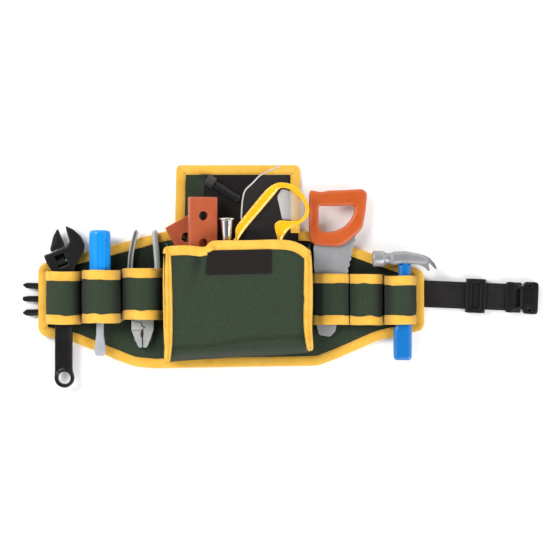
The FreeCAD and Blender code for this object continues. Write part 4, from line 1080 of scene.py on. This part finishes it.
def make_wrench():
    """The frame with its window and eye, the moving jaw, its rack and the worm."""
    body = [(-199.4, 88.9, 1.2), (-196.6, 78, 8), (-193.9, 69.8, 4), (-198, 63.6, 3),
            (-219.5, 54.8, 1), (-225.2, 53, 2.5), (-221.6, 43.5, 6), (-215.4, 33.6, 8),
            (-211.7, 24, 12), (-211.7, -84, 8)]
    body += arc(*WRENCH_EYE, 11.9, 1, 2, 16)
    body += [(-190.8, -84, 8), (-190.8, 28, 8), (-185.9, 43.3, 10), (-178, 56, 8),
            (-176, 65.7, 6), (-181, 76.4, 9), (-189.8, 84.2, 9)]
    window = rounded([(-212.6, 52.2, 1.5), (-201.4, 56.7, 1.5), (-195.8, 42.4, 1.5),
                      (-207.0, 37.9, 1.5)])
    hole = arc(*WRENCH_EYE, 7.4, 0, 2, 40)[:-1]

    def face(x, y, d):
        from_eye = (Vector((x, y)) - WRENCH_EYE).length
        rim = smooth_step(0.1, 0.6, d)
        ring = 0.7 * smooth_step(11.0, 10.2, from_eye) if from_eye < 11 else 0
        handle = smooth_step(10.4, 11.2, from_eye) * smooth_step(30, 26, y) \
            * smooth_step(-92, -88, y)
        return rim * ring - 0.8 * smooth_step(0.7, 1.6, d) * handle

    slab("wrench_frame", rounded(body), 6.6, 16.4, 1.5, "wrench_black", "wrench",
         holes=[window, hole], top=face, step=1.7, stands_for="wrench_body")
    floor = rounded([(-213, 53), (-201, 58), (-195, 42), (-207, 37)])
    slab("wrench_slot_floor", floor, 6.7, 7.0, 0.1, "wrench_black", "wrench", step=5)
    jaw = rounded([(-208.6, 85.9, 1.4), (-213.8, 76, 12), (-217.4, 60.5, 4), (-216.2, 56.8, 1.2),
                   (-200.2, 63.6, 1.2), (-200.8, 67.5, 4), (-204.6, 76, 12)])
    slab("wrench_moving_jaw", jaw, 7.0, 16.4, 1.6, "wrench_black", "wrench_jaw", step=1.5,
         top=lambda x, y, d: 0.5 * smooth_step(0.5, 5, d), stands_for="wrench_jaw")
    rack = rounded([(-212.6, 57.8), (-202.4, 61.9), (-200.3, 56.4, 1), (-211.0, 52.0, 1)])
    slab("wrench_jaw_rack", rack, 8.4, 12.6, 0.6, "wrench_black", "wrench_jaw", step=1.6)
    along = Vector((math.cos(WRENCH_TILT), math.sin(WRENCH_TILT), 0))

    def thread(turn, distance):
        return 0.84 + 0.17 * math.cos(distance * 2 * math.pi / 2.5 + turn)

    stations = [(-6.0 + 0.3 * step, 4.4) for step in range(41)]
    turned("wrench_thumb_worm", WORM, along, [(-6.0, 0.5)] + stations + [(6.0, 0.5)],
           "wrench_black", "wrench_worm", shape=thread, stands_for="wrench_worm", sharp=70)


def make_screwdriver():
    """The eight-sided grip and its flat blade."""
    def facets(turn, distance):
        share = abs((turn / (math.pi / 4) + 0.5) % 1 - 0.5)
        return 1.0 - 0.075 * (1 - smooth_step(0.0, 0.16, share)) \
            * min(1, max(0, distance - 2.5) / 4)

    stations = [(0, 0.3), (0.05, 4), (0.3, 7.5), (0.9, 10.2), (1.8, 11.7), (3.0, 12.5),
                (4.4, 12.75), (6, 12.8)]
    stations += [(distance, 12.8) for distance in range(10, 100, 6)]
    stations += [(100.5, 12.2), (103, 10.5), (104.4, 8), (104.6, 0.5)]
    turned("screwdriver_grip", (-157.1, 83.7, 19.4), (0, -1, 0), stations, "handle_blue",
           "screwdriver", shape=facets, sides=64, stands_for="screwdriver_handle", sharp=60)
    blade = rounded([(-161.5, -12), (-161.5, -42, 14), (-164.0, -58, 8), (-163.8, -63.5, 3),
                     (-161.4, -67.9, 1.2), (-152.6, -67.9, 1.2), (-150.2, -63.5, 3),
                     (-150.0, -58, 8), (-152.5, -42, 14), (-152.5, -12)])
    slab("screwdriver_shaft", blade, 15.6, 23.4, 3.2, "blade_grey", "screwdriver", step=1.6,
         stands_for="screwdriver_blade", sharp=60)


def make_pliers_handles():
    """Each handle with its section: the left one hollow, the right one with a bevelled roof."""
    channel = [(-3.1, 8), (-3.1, 14), (-2.4, 15), (-1.7, 15), (-1.3, 13.2), (1.3, 13.2),
               (1.7, 15), (2.4, 15), (3.1, 14), (3.1, 8), (2.4, 7), (-2.4, 7)]
    roof = [(-3.5, 8), (-3.5, 12.8), (-2.6, 13.9), (0.2, 15.2), (0.9, 15.2), (2.9, 13.9),
            (3.5, 12.8), (3.5, 8), (2.4, 7), (-2.4, 7)]
    bar("pliers_left_handle", [(-108, -14), (-114.5, -7), (-119.6, 8), (-121.4, 33),
                               (-120.2, 54), (-117.0, 71), (-113.6, 83.8)], channel,
        "pliers_silver", "pliers_left", stands_for="pliers_half_left", sharp=35)
    bar("pliers_right_handle", [(-104, -14), (-97.5, -7), (-91.4, 8), (-88.8, 33), (-89.6, 54),
                                (-91.2, 71), (-92.4, 84.0)], roof,
        "pliers_silver", "pliers_right", stands_for="pliers_half_right", sharp=35)
    # A dark strip in the left handle's channel: painted shade.
    groove = [(-1.25, 12.4), (-1.25, 13.5), (1.25, 13.5), (1.25, 12.4)]
    bar("pliers_channel_painted_shade", [(-114.5, -7), (-119.6, 8), (-121.4, 33), (-120.2, 54),
                                  (-117.0, 71), (-114.2, 81.5)], groove, "pliers_silver",
        "pliers_left", material=PAINTED_RECESS_SHADE)


def make_pliers_jaws():
    """Two toothed jaws, each on the body of the handle across from it."""
    # A dark plate inside the jaws: painted shadow seen through their gaps.
    slab("pliers_jaw_shadow", [(-117, -30), (-117, -50), (-108, -57), (-103, -57), (-95, -48),
                               (-95, -30), (-104, -26)], 8, 11, 0.3, "pliers_silver",
         "pliers_right", material=PAINTED_RECESS_SHADE, step=4)
    teeth = []
    for number in range(6):
        y = -57.6 + number * 1.9
        teeth += [(-107.5, y), (-106.6, y + 0.95)]
    left = [(-119.7, -25.0, 1), (-119.7, -37, 2), (-112.4, -55.2, 2), (-110.4, -57.8, 1.2)]
    left += teeth + [(-106.7, -46.8), (-107.6, -46.2), (-108.5, -44.2), (-108.8, -41.2),
                     (-108.5, -38.2), (-107.6, -36.2), (-106.6, -35.6), (-104.4, -34.2),
                     (-107.9, -31.4, 1), (-108.0, -28.8, 1), (-110.3, -27.1, 1), (-115, -26.4, 1),
                     (-118.4, -24.6)]
    right = [(-118.0, -8, 3), (-117.8, -23.6), (-115, -25.7, 1), (-110, -26.4, 1),
             (-107.0, -28.2, 1), (-106.9, -30.8, 1), (-102.8, -33.7), (-105.5, -35.8),
             (-105.6, -36.2), (-105.2, -38.2), (-105.0, -41.2), (-105.2, -44.2),
             (-105.9, -46.4)] + [(-212.6 - x, y) for x, y in reversed(teeth)]
    right += [(-102.0, -57.8, 1.2), (-99.9, -55.2, 2), (-93.0, -37, 2), (-93.0, -24, 3),
              (-95, -8, 3)]
    slab("pliers_left_jaw", rounded(left), 7, 15, 0.45, "pliers_silver", "pliers_right",
         pitch=0.6, step=1.0,
         top=lambda x, y, d: -1.4 * math.exp(-((y + 37.2) / 0.45) ** 2) * smooth_step(0, 0.8, d))
    slab("pliers_right_jaw", rounded(right), 7, 15, 0.45, "pliers_silver", "pliers_left",
         pitch=0.6, step=1.6,
         top=lambda x, y, d: 0.9 * smooth_step(-1.2, 1.2, x + 96 - (y + 50) * 0.3)
         * smooth_step(0, 1.5, d) - 0.5 * smooth_step(0, 1.5, d))


def make_saw():
    """The grip with its finger hole, and the toothed plate."""
    grip = rounded([(94.6, 131.8, 3), (107, 129.2, 8), (118, 131, 8), (132, 131.4, 6),
                    (158.5, 133.0, 7), (163.8, 128.0, 8), (161.6, 106, 14), (158.2, 86.8, 8),
                    (150.7, 78.1, 6), (136.6, 66.6, 8), (128, 63.4, 8), (112, 64.4, 8),
                    (101, 65.1, 4), (95.6, 70, 4), (93.4, 77, 6), (93.6, 122, 6)])
    hole = rounded([(105.2, 112.6, 3), (127, 112.2, 8), (148.6, 113.2, 4.5), (147.6, 104, 7),
                    (143.6, 96.0, 9), (136, 87.6, 9), (125, 82.2, 8), (111, 80.8, 5),
                    (105.4, 86, 5)])
    slab("saw_grip", grip, 6.6, 17.6, 3.4, "saw_orange", "saw", holes=[hole], step=2.2,
         stands_for="saw_handle", sharp=70)
    edge = [(101.6, 70), (99.2, 62), (99.6, 38), (101.0, 30), (102.4, -30, 6),
            (105.4, -42.6, 4), (119, -45, 5), (125.4, -38, 3), (138.2, 30)]
    for number in range(13):
        share = number / 12
        edge.append((139.4 + 10.2 * share + (0 if number % 2 else 2.1), 34 + 44 * share, 1.6))
    slab("saw_plate", rounded(edge, steps=4), 9.4, 11.8, 0.5, "saw_silver", "saw", step=3.0,
         pitch=0.8, stands_for="saw_blade")


def make_hammer():
    """The turned face, the cheek, the split claw and the grip."""
    stations = [(0, 0.4), (0.1, 6.8), (0.5, 8.3), (1.3, 9.2), (2.6, 9.6), (3.2, 9.5), (12, 9.5),
                (13.5, 9.1), (15.2, 7.6), (17, 6.9), (20, 6.6), (24, 6.9), (28, 7.6), (28.2, 0.5)]
    turned("hammer_face", (169.6, 49.0, 16.8), (1, 0.01, 0), stations, "hammer_silver", "hammer",
           stands_for="hammer_head", sharp=60)
    cheek = rounded([(190, 55.6, 4), (196, 57.8, 5), (208, 58.3, 8), (227, 55.0, 10),
                     (238, 49.4, 5), (235.6, 41.4, 4), (221, 42.0, 8), (205, 42.2, 8),
                     (196, 41.2, 5), (190, 43, 4)])
    slab("hammer_cheek", cheek, 8.6, 25, 5.5, "hammer_silver", "hammer", step=1.8, sharp=70)
    claw = rounded([(222, 52.5), (230, 54.2, 6), (238.4, 50.2, 8), (244.2, 43.4, 8),
                    (247.2, 36.8, 1), (245.6, 36.0, 1), (241.2, 40.8, 3), (236.8, 44.6, 0.8),
                    (236.9, 41.0, 3), (238.6, 35.0, 1), (236.8, 34.0, 1), (233.6, 37.6, 4),
                    (227.6, 41.0, 5), (222, 42.4)])
    slab("hammer_claw", claw, 11.5, 22.2, 0.9, "hammer_silver", "hammer", step=1.6, sharp=55,
         top=lambda x, y, d: -2.2 * smooth_step(234, 246, x))
    handle = rounded([(200.9, 46), (215.9, 46), (215.9, -18, 12), (217.2, -34, 10),
                      (216.9, -70.5, 3), (213.8, -73.2, 3), (198, -73.2, 3), (194.9, -70.5, 3),
                      (194.9, -36, 10), (200.9, -20, 12)])
    slab("hammer_grip", handle, 10.3, 23.3, 4.8, "handle_blue", "hammer", step=2.2, sharp=70,
         material=HAMMER_BLUE, stands_for="hammer_handle")


GOGGLES_MIDDLE = Vector((21.7, 99.2))
GOGGLES_TURN = math.radians(53)


def goggles_half(spots):
    """Spots of the goggles' right half, and the same mirrored to their hidden left half."""
    along = Vector((math.cos(GOGGLES_TURN), math.sin(GOGGLES_TURN)))
    right = [Vector(spot) for spot in spots]
    left = [spot - along * 2 * (spot - GOGGLES_MIDDLE).dot(along) for spot in reversed(right)]
    return right, left


def make_goggles():
    """Brow and ring in one piece, the lens's edge painted as a highlight, and the painted glare on
    it.
    """
    right, left = goggles_half([(52.2, 137.8), (59.8, 139.6), (71, 138.0), (80.4, 132.3),
                                (88, 123.3), (93.6, 108.8), (91.4, 98.4), (83.9, 91.4),
                                (75.5, 87.6), (69.0, 83.2), (64.6, 77.6), (61.8, 72)])
    outer = right + left + [(5, 73), (6, 85), (14.3, 97.1), (28.4, 114.6), (42.5, 131.2)]
    right, left = goggles_half([(52.9, 126.1), (57.4, 131.6), (62.6, 133.4), (72.8, 130.2),
                                (83.9, 119.9), (88.9, 108.8), (87.2, 100.4), (81.5, 94.6),
                                (72, 93.6), (62, 94.6), (56.4, 93.6), (52.6, 89.4),
                                (53.2, 82), (55.6, 73)])
    inner = right + [(53, 69), (46, 67), (39, 67.6)] + left[3:] + [(16, 82), (34.6, 104.4)]

    def rims(x, y, d):
        return -1.1 * smooth_step(0.5, 1.5, d)

    slab("goggles_brow_and_ring", curve_through(outer, True, 5), 31.7, 36.2, 0.8,
         "goggles_yellow", "goggles", holes=[curve_through(inner, True, 5)], top=rims,
         step=1.3, stands_for="goggles_frame", sharp=60)
    # The lens's edge as a light grey bar, a painted highlight.
    edge = [(12.6, 95), (13.2, 108.8), (14.6, 122), (17.7, 130.9), (26.7, 139.8),
            (33.6, 147.0), (39.8, 150.9), (46.7, 154.2), (58.5, 159.6)]
    section = [(-0.9, 31.0), (-0.8, 31.8), (0, 32.1), (0.8, 31.8), (0.9, 31.0), (0, 30.7)]
    bar("goggles_lens_edge", edge, section, "lens_clear", "goggles", material=PAINTED_LENS_EDGE_HIGHLIGHT)
    # The glare is a painted reflection: a thin sheet over the lens, whiter at its left.
    painted_glare = [(55.4, 123.3), (60.0, 131.4), (63, 132), (72, 129.0), (82.6, 119.2), (87.3, 108.6),
             (85.6, 101), (80.8, 95.8), (72, 94.8), (61.4, 95.8)]
    slab("goggles_painted_lens_reflection", rounded([(*spot, 2) for spot in painted_glare]), 30.7, 31.6, 0.3,
         "lens_clear", "goggles", step=3, material=PAINTED_LENS_REFLECTION)


# ---------------------------------------------------------------- strap and buckles

STRAP_ROOT = Vector((231.6, 6.8))
STRAP_TILT = math.radians(-2.3)
MALE_Y = 0.6  # the middle line of the male buckle and its webbing


def on_strap(x, y):
    """A spot by its distance along the belt and across the strap."""
    away = Vector((x - STRAP_ROOT.x, y))
    turn = Vector((math.cos(STRAP_TILT), math.sin(STRAP_TILT)))
    return STRAP_ROOT + turn * away.x + Vector((-turn.y, turn.x)) * away.y


def strap_outline(corners):
    """A rounded outline in the strap's own directions."""
    return rounded([(*on_strap(x, y), *radius) for x, y, *radius in corners])


def webbing(name, route, place, half_wide, half_thick, stands_for):
    """A ribbed strap on a route of (along, height) spots, which place sets in the belt."""
    line = spaced([Vector(spot) for spot in curve_through([Vector(spot) for spot in route])], 1.6)
    sideways = flat(place(0, 1) - place(0, 0))
    frames = []
    for index, spot in enumerate(line):
        run = run_at(line, index)
        way = place(spot.x + run.x, 0) - place(spot.x, 0)
        outward = Vector((way.x, way.y, run.y)).cross(sideways).normalized()
        frames.append((flat(place(spot.x, 0), spot.y), sideways, outward))
    half = []
    for step in range(13):
        across = (half_wide - 0.3) * (step / 6 - 1)
        rib = -0.12 if abs(across) > half_wide - 1.2 else 0.08 * math.cos(across * 3)
        half.append((across, half_thick + rib))
    section = half + [(half_wide, 0.2), (half_wide, -0.3)]
    section += [(across, -lift) for across, lift in half[::-1]]
    section += [(-half_wide, -0.3), (-half_wide, 0.2)]
    sweep(name, frames, section, "webbing_black", stands_for=stands_for, sharp=50)
    return frames


def make_strap():
    """The long strap, turned back at its buckle, and the short end webbing."""
    route = [(231.8, 2.9), (237, 3.0), (243, 4.6), (250, 6.3), (258, 6.5), (284, 6.45),
             (306, 6.5), (334.4, 6.5), (337.0, 5.6), (337.8, 3.8), (337.0, 2.0), (334.4, 1.1),
             (300, 1.1), (256, 1.15)]
    frames = webbing("strap_webbing", route, on_strap, 16.2, 0.9, "webbing_right")
    top = [frame_at for frame_at in frames if frame_at[2].z > 0.7 and frame_at[0].x < 332]
    for inset in (-13.6, 13.6):
        stitch_line(top, inset, 0.95, "dark", pitch=3.4)
    route = [(-196.4, 0.9), (-204, 0.9), (-212, 0.9), (-218.4, 0.92), (-219.9, 1.5), (-220.1, 2.3),
             (-219.9, 3.0), (-218.4, 3.58), (-212, 3.6), (-204.6, 3.6)]
    webbing("end_webbing", route, lambda x, y: Vector((x, MALE_Y + y)), 15.9, 0.62,
            "webbing_left")


def plate(left, right, low, high, radius=0.0):
    """The corners of a rectangle."""
    return [(left, low, radius), (left, high, radius), (right, high, radius),
            (right, low, radius)]


def make_tri_glide_face():
    """The slotted front of the strap's slider."""
    slab("tri_glide_face", strap_outline(plate(282.6, 306.4, -20.7, 20.7, 5)), 7.8, 11.2, 1.6,
         "buckle_black", "tri_glide",
         holes=[strap_outline(plate(289.6, 299.4, -15.4, 15.4, 1.2))],
         top=lambda x, y, d: -0.5 * smooth_step(0.4, 1.4, d), step=1.6)


def make_female_buckle():
    """The socket's cover with its openings, and the tongue's floor."""
    cover = strap_outline([(330.9, -18.4, 3), (330.9, 18.4, 3), (339, 18.6, 3),
                           (343.2, 14.2, 4), (350, 13.4, 4), (352.4, 15.4, 3),
                           (353.4, 19.3, 3), (366, 19.5, 4), (370.0, 16.4, 3.5),
                           (370.0, -16.4, 3.5), (366, -19.5, 4), (353.4, -19.3, 3),
                           (352.4, -15.4, 3), (350, -13.4, 4), (343.2, -14.2, 4),
                           (339, -18.6, 3)])
    holes = [strap_outline(plate(342.8, 349.6, -11, 11, 2))]
    holes += [strap_outline(plate(357.6, 362.4, y - 1.7, y + 1.7, 1.6)) for y in (-15, 15)]
    slab("buckle_cover", cover, 8.2, 10.6, 1.1, "buckle_black", "belt", holes=holes,
         top=lambda x, y, d: 0.5 * smooth_step(0.5, 4, d), step=1.8, pitch=0.8)
    slab("buckle_tongue_floor", strap_outline(plate(341.5, 365, -12.5, 12.5)), 1.0, 6.5, 0.4,
         "buckle_black", "belt")


def prong_outline(step):
    """The middle prong for 0, and an outer one with its bent hook for 1 or -1."""
    y = MALE_Y + 15.6 * step
    if not step:
        return [(-230, y - 3.6), (-244, y - 3.6, 3), (-251.8, y - 2.6, 2.4),
                (-251.8, y + 2.6, 2.4), (-244, y + 3.6, 3), (-230, y + 3.6)]
    return [(-230, y - 3.4), (-239.5, y - 4.4 + step * 0.8, 5),
            (-247.5, y - 3.6 + step * 0.9, 4), (-252.3, y + step * 1.6, 1.2),
            (-247.5, y + 3.4 + step * 0.5, 4), (-239.5, y + 3.4 + step * 0.4, 5),
            (-230, y + 3.4)]


def make_male_buckle():
    """Three prongs, their base, and the rails and bar that hold the short webbing."""
    for step in (-1, 0, 1):
        slab(f"male_prong_{step + 2}", rounded(prong_outline(step)), 0.3, 5.6, 1.2,
             "buckle_black", "belt", top=lambda x, y, d: -0.6 * smooth_step(0.6, 1.6, d),
             step=1.2, pitch=0.7, stands_for=None if step else "buckle_male")
    base = rounded([(-233, MALE_Y - 18, 1.5), (-233, MALE_Y + 18, 1.5), (-226.6, MALE_Y + 18),
                    (-226.6, MALE_Y - 18)])
    slab("male_base", base, 0.3, 4.1, 0.4, "buckle_black", "belt")
    for side in (-1, 1):
        low, high = MALE_Y + side * 17.3 - 0.7, MALE_Y + side * 17.3 + 0.7
        slab(f"male_rail_{side + 2}", [(-227, low), (-216.4, low), (-216.4, high),
                                       (-227, high)], 0.3, 4.1, 0.2, "buckle_black", "belt")
    low, high = MALE_Y - 17.4, MALE_Y + 17.4
    slab("male_bar", [(-219, low), (-216.4, low), (-216.4, high), (-219, high)], 1.75, 2.85, 0.2,
         "buckle_black", "belt")


# ---------------------------------------------------------------- CAD parts that keep their shape

def finish_cad(name, slot, bevel):
    """Weld a CAD node's split faces, round its sharp edges and give it its finish."""
    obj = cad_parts[name]
    obj.data.materials.clear()
    obj.data.materials.append(MATERIALS[slot])
    weld = obj.modifiers.new("weld", "WELD")
    weld.merge_threshold = 0.00001
    edge = obj.modifiers.new("bevel", "BEVEL")
    edge.width = bevel * MM
    edge.segments = 3
    edge.limit_method = "ANGLE"
    edge.angle_limit = math.radians(32)
    edge.harden_normals = False
    normals = obj.modifiers.new("normals", "WEIGHTED_NORMAL")
    normals.keep_sharp = False
    obj.data.shade_smooth()


# ---------------------------------------------------------------- camera, floor and light

def make_stage():
    """A pale floor under the belt."""
    mesh = bpy.data.meshes.new("floor")
    half = 6.0
    mesh.from_pydata([(-half, -half, 0), (half, -half, 0), (half, half, 0), (-half, half, 0)], [],
                     [(0, 1, 2, 3)])
    floor = bpy.data.objects.new("floor", mesh)
    bpy.context.scene.collection.objects.link(floor)
    floor.location.z = -0.0005
    material, tree, shader = principled("floor", (0.93, 0.93, 0.93), 0.7)
    cloud = noise_at(tree, object_place(tree), 3, 2)
    tree.links.new(ramp(tree, cloud, [(0.3, (0.92, 0.92, 0.92)), (0.7, (0.94, 0.94, 0.94))]),
                   shader.inputs["Base Color"])
    mesh.materials.append(material)


def make_light(name, place, size, power):
    """A round lamp aimed at the belt's middle."""
    data = bpy.data.lights.new(name, "AREA")
    data.shape = "DISK"
    data.size = size
    data.energy = power
    lamp = bpy.data.objects.new(name, data)
    lamp.location = place
    lamp.rotation_mode = "QUATERNION"
    lamp.rotation_quaternion = (-Vector(place)).to_track_quat("-Z", "Y")
    bpy.context.scene.collection.objects.link(lamp)


def make_camera():
    """Straight above, with the same field as a 660 mm wide picture."""
    data = bpy.data.cameras.new("camera")
    centre = Vector((0.0528, 0.0294, 0.018))
    distance, field = 2.4, 0.660
    data.sensor_width = 36
    data.lens = data.sensor_width * distance / field
    data.clip_start, data.clip_end = 0.1, 50
    camera = bpy.data.objects.new("camera", data)
    camera.location = centre + Vector((0, 0, distance))
    bpy.context.scene.collection.objects.link(camera)
    bpy.context.scene.camera = camera


def make_world():
    """A pale horizon under a dim ceiling."""
    world = bpy.data.worlds.new("studio")
    world.use_nodes = True
    tree = world.node_tree
    background = tree.nodes["Background"]
    direction = tree.nodes.new("ShaderNodeTexCoord").outputs["Generated"]
    height = node(tree, "SeparateXYZ", Vector=direction).outputs["Z"]
    tone = ramp(tree, height, [(0.0, (1.0, 1.0, 1.0)), (0.45, (0.8, 0.8, 0.8)),
                               (0.88, (0.10, 0.10, 0.10))])
    tree.links.new(tone, background.inputs["Color"])
    background.inputs["Strength"].default_value = 1.7
    bpy.context.scene.world = world
    bpy.context.scene.view_settings.view_transform = "Standard"


make_stage()
make_world()
make_camera()
make_light("key", (-1.6, 1.15, 1.9), 1.5, 62)
make_light("fill", (1.5, -1.5, 1.7), 1.8, 52)

make_panel()
make_flap()
make_bands()
make_pocket()
make_wrench()
make_screwdriver()
make_pliers_handles()
make_pliers_jaws()
make_saw()
make_planks()
make_hammer()
make_goggles()
make_strap()
make_tri_glide_face()
make_female_buckle()
make_male_buckle()
for cad_name, cad_slot, cad_bevel in (
        ("tri_glide", "buckle_black", 0.5), ("buckle_female", "buckle_black", 0.5),
        ("wrench_worm_pin", "pin_grey", 0.3), ("pliers_rivet", "pin_grey", 0.3),
        ("nail", "nail_chrome", 0.3), ("hex_bolt", "bolt_black", 0.35),
        ("goggles_lens", "lens_clear", 0.2)):
    finish_cad(cad_name, cad_slot, cad_bevel)
make_stitches()
